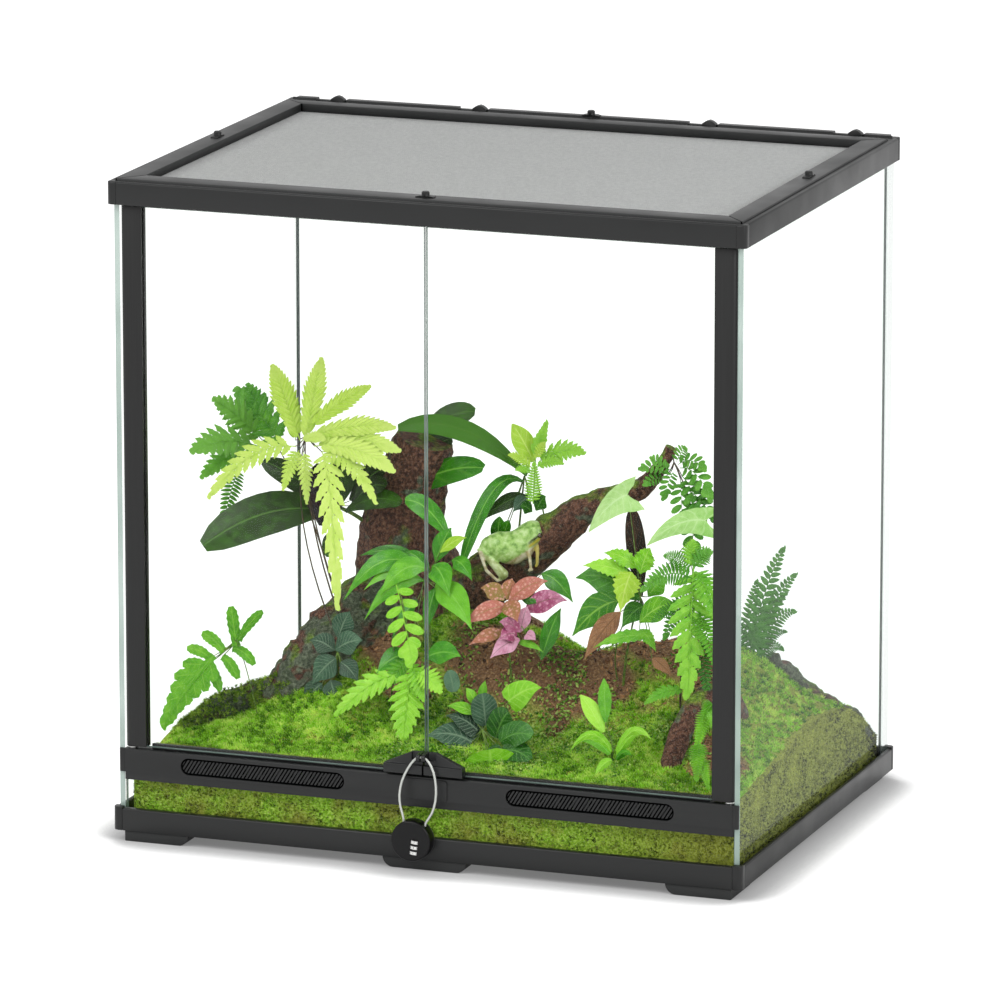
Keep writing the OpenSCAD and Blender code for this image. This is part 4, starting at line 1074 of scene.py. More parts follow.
def buildWood():
    trunk = barkTube("stumpTrunk", stumpLine, 56, 62, 3.2, 1.7, 0.12)
    shoulder = barkTube("stumpShoulder", shoulderLine, 52, 60, 7.5, 5.2)
    rim = barkTube("stumpRim", rimLine, 26, 50, 6.5, 2.6)
    wear(trunk, barkMaterial("old bark of the stump", -0.1))
    grown = barkMaterial("lichen-grown bark", -0.13, 0.42)
    wear(shoulder, grown)
    wear(rim, grown)
    stump = joinAll([trunk, shoulder, rim], "stumpWood")
    finishPiece(stump, "stumpWood", "tank", "wood", "stump")
    log = barkTube("mossyLog", logLine, 44, 90, 2.6, 8.3)
    wear(log, barkMaterial("old bark of the log", -0.02))
    finishPiece(log, "mossyLog", "tank", "wood", "mossy_log")
    root = barkTube("archRoot", rootLine, 24, 60, 1.4, 3.4)
    wear(root, barkMaterial("old bark of the root", -0.12))
    finishPiece(root, "archRoot", "tank", "wood", "arch_root")
    ridge = barkTube("ridgeCrust", ridgeLine, 26, 110, 10.0, 4.4)
    wear(ridge, grown)
    finishPiece(ridge, "ridgeCrust", "tank", "wood")
    growMoss(stump)


# moss that has crept up the left shoulder of the stump
creep = dict(left=-283, right=-140, size=(0.5, 1.0), patchMm=16, bare=-0.3)


def growMoss(stump):
    spots = []
    for face in stump.data.polygons:
        x, y, z = [value / mm for value in face.center]
        patch = noise.noise(Vector((x, y, z)) / creep["patchMm"])
        outside = not creep["left"] < x < creep["right"]
        thin = patch < creep["bare"] + (z - 100) / 60
        if outside or thin or face.normal.z < -0.2:
            continue
        for _ in range(2):
            jog = Vector([dice.uniform(-1.5, 1.5) * mm for _ in range(3)])
            spots.append((face.center + jog, (face.normal + Vector((0, 0, 0.4))).normalized(),
                          dice.uniform(*creep["size"]), dice.uniform(0, fullTurn),
                          0.5 + dice.uniform(-0.4, 0.4)))
    tuft = mossTuft(**tuftForm)
    carpet = scatter(tuft, spots, "shoulderMoss")
    bpy.data.objects.remove(tuft)
    wear(carpet, tuftMaterial("moss on bark", "#3A5210", "#88B02C", "#DCF070"))
    finishPiece(carpet, "shoulderMoss", "tank", "moss")


buildWood()
print("stump, log and root are built")

# its masses are drawn as seen from the front right: right, up and towards the viewer, in mm
frogPose = dict(spot=(10.8, -20, 258.2), azimuth=20, elevation=13)
frogBody = [
    # right, up, near, radius
    (-26, -6.5, 0, 5), (-21, -4, 0, 8.6), (-16, -4.5, 0, 11.5), (-11, -5, 0, 14),
    (-4, -6, 0, 15), (0, -6, 0, 15.2), (6.4, -3.2, 0, 14.6), (11, 1, 0, 13.4),
    (14.5, 4.3, 0, 13), (18, 6.8, 0, 12.4), (23, 9, 0, 8.3), (27.5, 9.5, 0, 5),
    (30.5, 9.8, 0, 2.6),
]
frogLimbs = [
    # start, end, radius at each end
    ((-27, -10, 4), (-9, -30, 4), 2.8, 5), ((-31, -8, 4), (-24, -27, 4), 1.8, 1.7),
    ((-24, -27, 4), (-14.5, -35.5, 4), 1.7, 1.5), ((14.5, -9, 8), (16.4, -25, 8), 2.0, 1.5),
    ((22.5, -4, 4), (22, -21, 4), 2.2, 1.6),
]
frogToes = [(-14, -36, 4), (-11, -35, 4), (17, -26, 8), (15, -26.5, 8), (21, -22.5, 4)]
frogEye = (24.5, 5.2, 8.4, 2.4)


def ball(spot, radius, squash=1.0):
    piece = addShape(bpy.ops.mesh.primitive_uv_sphere_add, segments=20, ring_count=14,
                     radius=radius, location=spot, scale=(1, squash, 1))
    settle(piece)
    return piece


def buildFrog():
    # drawn with X right, Z up and Y away from the viewer, then turned into the tank
    parts = [ball((right, -near, up), radius, 0.85) for right, up, near, radius in frogBody]
    for start, end, thick, thin in frogLimbs:
        for step in range(9):
            right, up, near = Vector(start).lerp(Vector(end), step / 8)
            parts.append(ball((right, -near, up), thick + (thin - thick) * step / 8))
    for right, up, near in frogToes:
        parts.append(ball((right, -near, up), 1.6))
    right, up, near, size = frogEye
    parts.append(ball((right, 2 - near, up + 1), size + 0.8))
    frog = joinAll(parts, "frogSkin")
    applyModifier(frog, "REMESH", mode="VOXEL", voxel_size=0.8, use_smooth_shade=True)
    applyModifier(frog, "SMOOTH", factor=0.5, iterations=6)
    applyModifier(frog, "DECIMATE", ratio=0.4)
    mesh = frog.data
    belly = mesh.attributes.new("belly", "FLOAT", "POINT")
    stripe = mesh.attributes.new("stripe", "FLOAT", "POINT")
    shade = mesh.attributes.new("shade", "FLOAT", "POINT")
    for vertex in mesh.vertices:
        x, z = vertex.co.x, vertex.co.z
        # the line from the belly up to the lip, then the shank's and the thigh's outer lines
        flank = -19 + 0.6 * max(0, x + 5.5) if x < 12.7 else -8.1 + 0.73 * (x - 12.7)
        outer = -31 + 0.38 * (-8 - z) if z > -27 else -23.8 + 1.11 * (-27 - z)
        under = min(1, max(0, (flank - z) / 1.2)) if x > -8 else 0
        if z < -9 and x < outer + 2.6:
            under = 1
        elif x < -3 and z < -9 - 0.62 * (x + 30):
            under = 0.45
        second = x > 19 and z < flank - 2
        belly.data[vertex.index].value = 0.2 if second else under
        ahead = min(1, max(0, (x - 13) / 3))
        stripe.data[vertex.index].value = 1 if second else ahead * math.exp(
            -((z - flank - 1.8) / 1.5) ** 4)
        shade.data[vertex.index].value = ahead * math.exp(-((z - flank - 5) / 1.3) ** 4)
    right, up, near, size = frogEye
    eye = ball((right, -near, up), size)
    eye.name = "frogEye"
    turn = (Matrix.Rotation(math.radians(frogPose["azimuth"]), 4, "Z")
            @ Matrix.Rotation(math.radians(-frogPose["elevation"]), 4, "X"))
    for piece in (frog, eye):
        piece.data.transform(Matrix.Translation(place(frogPose["spot"])) @ turn
                             @ Matrix.Scale(mm, 4))
        smoothBy(piece, 180)
    return frog, eye


def frogMaterial(name):
    # a tree frog's skin: finely grained, damp, mottled green with a cream belly
    material, tree = newMaterial(name)
    spot = addNode(tree, "ShaderNodeTexCoord").outputs["Object"]
    mottle = addNode(tree, "ShaderNodeTexNoise",
                     {"Scale": 1 / (5 * mm), "Detail": 4.0, "Vector": spot})
    back = addNode(tree, "ShaderNodeValToRGB", {0: mottle.outputs["Fac"]},
                   [(0.34, "#6E9A3C"), (0.5, "#A2CA68"), (0.66, "#C4DE96")])
    under = addNode(tree, "ShaderNodeValToRGB", {0: mottle.outputs["Fac"]},
                    [(0.4, "#B8A878"), (0.6, "#E4DCC0")])
    belly = addNode(tree, "ShaderNodeAttribute", {"attribute_name": "belly"})
    stripe = addNode(tree, "ShaderNodeAttribute", {"attribute_name": "stripe"})
    tint = addNode(tree, "ShaderNodeMix",
                   {"data_type": "RGBA", 7: hexColour("#C8B432"), 0: stripe.outputs["Fac"],
                    6: back})
    tint = addNode(tree, "ShaderNodeMix",
                   {"data_type": "RGBA", 0: belly.outputs["Fac"], 6: tint.outputs[2], 7: under})
    dark = addNode(tree, "ShaderNodeAttribute", {"attribute_name": "shade"})
    tint = addNode(tree, "ShaderNodeMix",
                   {"data_type": "RGBA", 7: hexColour("#2A2412"), 0: dark.outputs["Fac"],
                    6: tint.outputs[2]})
    warts = addNode(tree, "ShaderNodeTexVoronoi", {"Scale": 1 / (1.6 * mm), "Vector": spot})
    bump = addNode(tree, "ShaderNodeBump",
                   {"Strength": 0.4, "Distance": 0.25 * mm, "Height": warts.outputs["Distance"]})
    shader = addNode(tree, "ShaderNodeBsdfPrincipled",
                     {"Roughness": 0.36, "Coat Weight": 0.25, "Coat Roughness": 0.2,
                      "Base Color": tint.outputs[2], "Normal": bump})
    addNode(tree, "ShaderNodeOutputMaterial", {"Surface": shader})
    return material


def eyeMaterial(name):
    # a wet eye: almost black with a bronze iris showing through
    material, tree = newMaterial(name)
    spot = addNode(tree, "ShaderNodeTexCoord").outputs["Object"]
    flecks = addNode(tree, "ShaderNodeTexNoise",
                     {"Scale": 1 / (0.8 * mm), "Detail": 2.0, "Vector": spot})
    tint = addNode(tree, "ShaderNodeValToRGB", {0: flecks.outputs["Fac"]},
                   [(0.45, "#0E0B08"), (0.7, "#6A4A1E")])
    shader = addNode(tree, "ShaderNodeBsdfPrincipled",
                     {"Roughness": 0.06, "Coat Weight": 1.0, "Base Color": tint})
    addNode(tree, "ShaderNodeOutputMaterial", {"Surface": shader})
    return material


frogSkin, frogEyes = buildFrog()
wear(frogSkin, frogMaterial("tree frog skin"))
wear(frogEyes, eyeMaterial("frog eye"))
finishPiece(frogSkin, "frogSkin", "tank", "frog_skin", "frog")
finishPiece(frogEyes, "frogEyes", "tank", "frog_skin")
print("frog is built")
def leafShape(name, widths, columns=4, fold=0.08, cup=0.0, sweep=0.0, teeth=0, bite=0.0,
              ruffle=0.0):
    rows = len(widths) - 1
    if teeth:
        fine = teeth * 2
        smooth = [along([[w] for w in widths], i / fine)[0] for i in range(fine + 1)]
        widths = [w * (1 - bite * (i % 2)) for i, w in enumerate(smooth)]
        rows = fine
    piece = addShape(bpy.ops.mesh.primitive_grid_add, x_subdivisions=rows, y_subdivisions=columns,
                     size=1, location=(0.5, 0, 0))
    piece.name = name
    settle(piece)
    bpy.ops.object.mode_set(mode="EDIT")
    cage = bmesh.from_edit_mesh(piece.data)
    for index, width in enumerate(widths):
        x = index / rows
        for vertex in cage.verts:
            vertex.select_set(abs(vertex.co.x - x) < 0.3 / rows)
        cage.select_flush(True)
        bpy.ops.transform.resize(value=(1, max(width, 0.02), 1), center_override=(x, 0, 0))
    bpy.ops.object.mode_set(mode="OBJECT")
    for vertex in piece.data.vertices:
        x, y = vertex.co.x, vertex.co.y
        vertex.co.z = -fold * abs(y) * 2 + cup * (2 * y) ** 2
        vertex.co.z += ruffle * math.sin(x * 23 + (1 if y > 0 else 4)) * abs(2 * y)
        vertex.co.x -= sweep * abs(2 * y) ** 1.5 * (1 - x) ** 2
    return piece


# a frond: pairs of the small shape along a rib; aspect is its length over its width
def frondShape(name, pinna, pairs, aspect, reach, lean=60, broad=1.15, start=0.05, web=0.014):
    parts = []
    pitch = (1 - start) / pairs
    for index in range(pairs):
        share = start + pitch * (index + 0.3)
        half = 0.5 * reach(share) / aspect
        angle = math.radians(lean - 18 * share)
        length = half / math.sin(angle)
        for side in (1, -1):
            twin = copyOf(pinna)
            shift = pitch * 0.5 if side < 0 else 0
            twin.data.transform(
                Matrix.Translation((share + shift, 0, 0)) @ Matrix.Rotation(side * angle, 4, "Z")
                @ Matrix.Diagonal((length, pitch * broad, length, 1)))
            parts.append(twin)
    tip = copyOf(pinna)
    tip.data.transform(Matrix.Translation((1 - 1.6 * pitch, 0, 0))
                       @ Matrix.Diagonal((1.6 * pitch, pitch * 1.2, pitch, 1)))
    rib = leafShape("rib", (1, 0.9, 0.75, 0.6, 0.4, 0.2), 1, 0.0)
    rib.data.transform(Matrix.Translation((0, 0, 0.004)) @ Matrix.Diagonal((0.97, web, 1, 1)))
    frond = joinAll([*parts, tip, rib], name)
    frond.data.transform(Matrix.Diagonal((1, aspect, aspect, 1)))
    return frond


def bell(share, low=0.25, peak=0.3):
    if share < peak:
        return low + (1 - low) * (share / peak) ** 0.7
    return max(0.06, (1 - (share - peak) / (1 - peak)) ** 0.75)


shapes = {}


def buildShapes():
    strap = (0.16, 0.34, 0.56, 0.76, 0.9, 0.98, 1, 0.99, 0.94, 0.84, 0.66, 0.3)
    oval = (0.08, 0.42, 0.74, 0.93, 1, 0.97, 0.85, 0.66, 0.42, 0.18, 0.02)
    tongue = (0.2, 0.5, 0.76, 0.93, 1, 1, 0.94, 0.8, 0.6, 0.34, 0.08)
    blade = (0.45, 0.7, 0.88, 1, 0.98, 0.9, 0.78, 0.62, 0.42, 0.2, 0.02)
    heart = (0.5, 0.9, 1, 0.99, 0.9, 0.76, 0.58, 0.36, 0.16, 0.02)
    shapes["strap"] = leafShape("strapLeaf", strap, 6, 0.1, 0.05)
    shapes["oval"] = leafShape("ovalLeaf", oval, 6, 0.12, 0.08)
    shapes["tongue"] = leafShape("tongueLeaf", tongue, 6, 0.16, 0.12)
    shapes["blade"] = leafShape("grassBlade", blade, 2, 0.3)
    shapes["heart"] = leafShape("heartLeaf", heart, 6, 0.14, 0.06, 0.2)
    shapes["arrow"] = leafShape("arrowLeaf", (0.5, 1, 0.95, 0.84, 0.74, 0.62, 0.5, 0.36, 0.2,
                                              0.02), 6, 0.2, 0.05, 0.42)
    shapes["frill"] = leafShape("frilledLeaf", oval, 6, 0.1, 0.1, 0.1, 9, 0.22, 0.06)
    shapes["finger"] = leafShape("fingerLobe", (0.75, 0.7, 0.8, 0.96, 1, 1, 0.95, 0.8, 0.4), 4,
                                 0.08, 0, 0, 6, 0.16)
    shapes["round"] = leafShape("roundLeaf", (0.3, 0.75, 0.95, 1, 1, 0.95, 0.82, 0.6, 0.25), 6,
                                0.1, 0.08, 0.1)
    small = leafShape("pinna", (0.5, 0.95, 1, 0.85, 0.6, 0.12), 2, 0.1)
    keen = leafShape("keenPinna", (0.9, 1, 0.95, 0.8, 0.55, 0.1), 2, 0.12)
    toothed = leafShape("toothedPinna", (0.7, 1, 0.95, 0.8, 0.6, 0.1), 2, 0.1, 0, 0, 4, 0.25)
    roundish = leafShape("roundPinna", (0.3, 0.8, 1, 1, 0.85, 0.3), 2, 0.05)
    crisp = leafShape("crispPinna", (0.6, 0.85, 1, 1, 0.85, 0.4), 2, 0.06, 0, 0, 4, 0.14)
    shapes["lime"] = frondShape("limeFrond", keen, 13, 2.6, lambda s: bell(s, 0.42, 0.4),
                                50, 1.25)
    shapes["limeDeep"] = frondShape("limeDeepFrond", toothed, 10, 2.6,
                                    lambda s: bell(s, 0.6, 0.3), 60, 1.0)
    shapes["broad"] = frondShape("broadFrond", toothed, 8, 2.0, lambda s: bell(s, 0.5, 0.35),
                                 60, 1.1)
    shapes["boston"] = frondShape("bostonFrond", small, 15, 3.2, lambda s: bell(s, 0.55, 0.3),
                                  76, 0.86)
    shapes["lobed"] = frondShape("lobedFrond", crisp, 6, 2.0,
                                 lambda s: bell(s, 0.8, 0.2) * (1 - 0.4 * s), 54, 1.1, 0.05, 0.09)
    shapes["opposed"] = frondShape("opposedFrond", roundish, 6, 2.2,
                                   lambda s: bell(s, 0.7, 0.5), 70, 0.72)
    shapes["moss"] = frondShape("clubMossFrond", small, 16, 4.0, lambda s: bell(s, 0.6, 0.2),
                                66, 0.9)
    for spare in (small, keen, toothed, roundish, crisp):
        bpy.data.objects.remove(spare)


buildShapes()
print("leaf shapes are ready")

lookAt = Vector((0.3, -0.8, 0.5))  # the way most leaves turn their upper face


# one copy of a shape, bent along an arch from start to end, all in mm
def layLeaf(kind, start, end, width, bow, twist=0.0, tone=0.5, facing=lookAt):
    twin = copyOf(shapes[kind])
    start, end = Vector(start), Vector(end)
    control = (start + end) / 2 + Vector((0, 0, 2 * bow))
    turn = math.radians(twist)
    mark = twin.data.attributes.new("tone", "FLOAT", "POINT")
    for vertex in twin.data.vertices:
        share = vertex.co.x
        t = min(1, max(0, share))
        point = start * (1 - t) ** 2 + control * 2 * t * (1 - t) + end * t ** 2
        way = ((control - start) * (1 - t) + (end - control) * t).normalized()
        point += way * (share - t) * (end - start).length
        side = facing.cross(way)
        side = side.normalized() if side.length > 0.05 else Vector((1, 0, 0))
        up = way.cross(side).normalized()
        roll = turn * (0.4 + 0.6 * t)
        side, up = (side * math.cos(roll) + up * math.sin(roll),
                    up * math.cos(roll) - side * math.sin(roll))
        mark.data[vertex.index].value = tone + 0.12 * t
        vertex.co = place(point + side * vertex.co.y * width + up * vertex.co.z * width)
    return twin


# a round stalk through its points, as a curve made a mesh
def stalk(points, radius, tip=0.6):
    curve = bpy.data.curves.new("stalk", "CURVE")
    curve.dimensions = "3D"
    curve.bevel_depth = radius * mm
    curve.bevel_resolution = 1
    curve.resolution_u = 6
    curve.use_fill_caps = True
    line = curve.splines.new("NURBS")
    line.points.add(len(points) - 1)
    for index, point in enumerate(points):
        line.points[index].co = (*place(point), 1)
        line.points[index].radius = 1 + (tip - 1) * index / (len(points) - 1)
    line.order_u = min(4, len(points))
    line.use_endpoint_u = True
    piece = newObject("stalk", curve)
    pickOnly(piece)
    bpy.ops.object.convert(target="MESH")
    return bpy.context.object


def leafMaterial(name, deep, middle, light, rib, veins=7, rough=0.42, ribWidth=0.05,
                 blotch=None, veinShow=0.35, sheen=0.0):
    # a living leaf: waxy, paler along the midrib, with side veins and uneven green
    material, tree = newMaterial(name)
    spot = addNode(tree, "ShaderNodeTexCoord")
    across = addNode(tree, "ShaderNodeSeparateXYZ", {0: spot.outputs["UV"]})
    fromRib = addNode(tree, "ShaderNodeMath",
                      {"operation": "SUBTRACT", 1: 0.5, 0: across.outputs[1]})
    fromRib = addNode(tree, "ShaderNodeMath", {"operation": "ABSOLUTE", 0: fromRib})
    slant = addNode(tree, "ShaderNodeMath",
                    {"operation": "MULTIPLY_ADD", 1: -0.55, 0: fromRib, 2: across})
    wave = addNode(tree, "ShaderNodeMath", {"operation": "MULTIPLY", 1: veins * 6.283, 0: slant})
    wave = addNode(tree, "ShaderNodeMath", {"operation": "COSINE", 0: wave})
    vein = addNode(tree, "ShaderNodeMapRange", {"From Min": 0.75, "From Max": 1.0, "Value": wave})
    midrib = addNode(tree, "ShaderNodeMapRange",
                     {"From Min": ribWidth, "From Max": 0.01, "Value": fromRib})
    mottle = addNode(tree, "ShaderNodeTexNoise",
                     {"Scale": 1 / (7 * mm), "Detail": 3.0, "Vector": spot.outputs["Object"]})
    tone = addNode(tree, "ShaderNodeAttribute", {"attribute_name": "tone"})
    level = addNode(tree, "ShaderNodeMath",
                    {"operation": "MULTIPLY_ADD", 1: 0.7, 2: -0.35, 0: mottle.outputs["Fac"]})
    level = addNode(tree, "ShaderNodeMath",
                    {"operation": "ADD", 0: level, 1: tone.outputs["Fac"]})
    tint = addNode(tree, "ShaderNodeValToRGB", {0: level},
                   [(0.1, deep), (0.5, middle), (0.9, light)])
    if blotch:
        spots = addNode(tree, "ShaderNodeTexVoronoi",
                        {"Scale": 1 / (3.4 * mm), "Vector": spot.outputs["Object"]})
        inside = addNode(tree, "ShaderNodeMapRange",
                         {"From Min": 0.42, "From Max": 0.3, "Value": spots.outputs["Distance"]})
        tint = addNode(tree, "ShaderNodeMix",
                       {"data_type": "RGBA", 7: hexColour(blotch), 0: inside, 6: tint}).outputs[2]
    share = addNode(tree, "ShaderNodeMath", {"operation": "MULTIPLY", 1: veinShow, 0: vein})
    faint = addNode(tree, "ShaderNodeMath", {"operation": "MULTIPLY", 1: 0.6, 0: midrib})
    lines = addNode(tree, "ShaderNodeMath", {"operation": "MAXIMUM", 0: share, 1: faint})
    tint = addNode(tree, "ShaderNodeMix",
                   {"data_type": "RGBA", 7: hexColour(rib), 0: lines, 6: tint}).outputs[2]
    bump = addNode(tree, "ShaderNodeBump",
                   {"Strength": 0.6, "Distance": -0.4 * mm, "Height": lines})
    shader = addNode(tree, "ShaderNodeBsdfPrincipled",
                     {"Roughness": rough, "Coat Weight": sheen, "Coat Roughness": 0.25,
                      "Specular IOR Level": 0.3, "Base Color": tint, "Normal": bump})
    addNode(tree, "ShaderNodeOutputMaterial", {"Surface": shader})
    return material


def stalkMaterial(name, dark, light):
    # a leaf stalk: fibrous
    material, tree = newMaterial(name)
    spot = addNode(tree, "ShaderNodeTexCoord").outputs["Object"]
    fibre = addNode(tree, "ShaderNodeTexNoise",
                    {"Scale": 1 / (4 * mm), "Detail": 3.0, "Vector": spot})
    tint = addNode(tree, "ShaderNodeValToRGB", {0: fibre.outputs["Fac"]},
                   [(0.35, dark), (0.65, light)])
    shader = addNode(tree, "ShaderNodeBsdfPrincipled", {"Roughness": 0.5, "Base Color": tint})
    addNode(tree, "ShaderNodeOutputMaterial", {"Surface": shader})
    return material


greenStalk = stalkMaterial("green leaf stalk", "#3F5A1E", "#7C9A3C")
brownStalk = stalkMaterial("brown fern stalk", "#2E2218", "#5E4A34")
leafKinds = {
    "lime": leafMaterial("fern frond, young lime", "#9CCB2C", "#BCE050", "#DAF27E", "#DCF084",
                         5, 0.5),
    "fresh": leafMaterial("fern frond, fresh green", "#357A0E", "#62AE22", "#98D444", "#9CD04E",
                          5, 0.48),
    "fern": leafMaterial("fern frond, green", "#20580C", "#438A1C", "#7ABC46", "#74B448",
                         5, 0.45),
    "glossy": leafMaterial("strap leaf, waxy dark", "#16200A", "#27440C", "#447A1C", "#5E8E34",
                           3, 0.4, 0.03, None, 0.1, 0.04),
    "cup": leafMaterial("bromeliad cup, near black", "#120E12", "#241820", "#4A3440", "#3E2E30",
                        4, 0.22, 0.03, None, 0.1, 0.1),
    "orchid": leafMaterial("fleshy leaf, bright", "#1E5A08", "#3E9010", "#72BC2C", "#8CCB50",
                           3, 0.34, 0.05, None, 0.15, 0.12),
    "salmon": leafMaterial("polka-dot leaf, salmon", "#8A7A38", "#B8705A", "#CC7A74", "#8E7A40",
                           6, 0.5, 0.04, "#D59A8C", 0.2),
    "red": leafMaterial("polka-dot leaf, pink", "#6A2444", "#A64A72", "#E0A6C0", "#6E5A46",
                        6, 0.5, 0.04, "#D08CA8", 0.2),
    "teal": leafMaterial("quilted leaf, blue green", "#1C3222", "#34543E", "#5E8466", "#829C7E",
                         9, 0.45, 0.05, None, 0.55),
    "pale": leafMaterial("arrowhead leaf, pale", "#6AA646", "#98CE6A", "#C4E89A", "#D2EEB0",
                         7, 0.4, 0.05, None, 0.4),
    "round": leafMaterial("creeping leaf, dark", "#1A4410", "#2E6C1A", "#589A34", "#70AC48",
                          6, 0.36, 0.05, None, 0.45, 0.1),
    "bright": leafMaterial("creeping leaf, bright", "#4C9A10", "#80CA22", "#AEE84E", "#BDEB68",
                           6, 0.35, 0.05, None, 0.4),
    "brown": leafMaterial("dry leaf, brown", "#231A14", "#6A4630", "#A87A56", "#5A3C28",
                          8, 0.7, 0.05, None, 0.5),
}

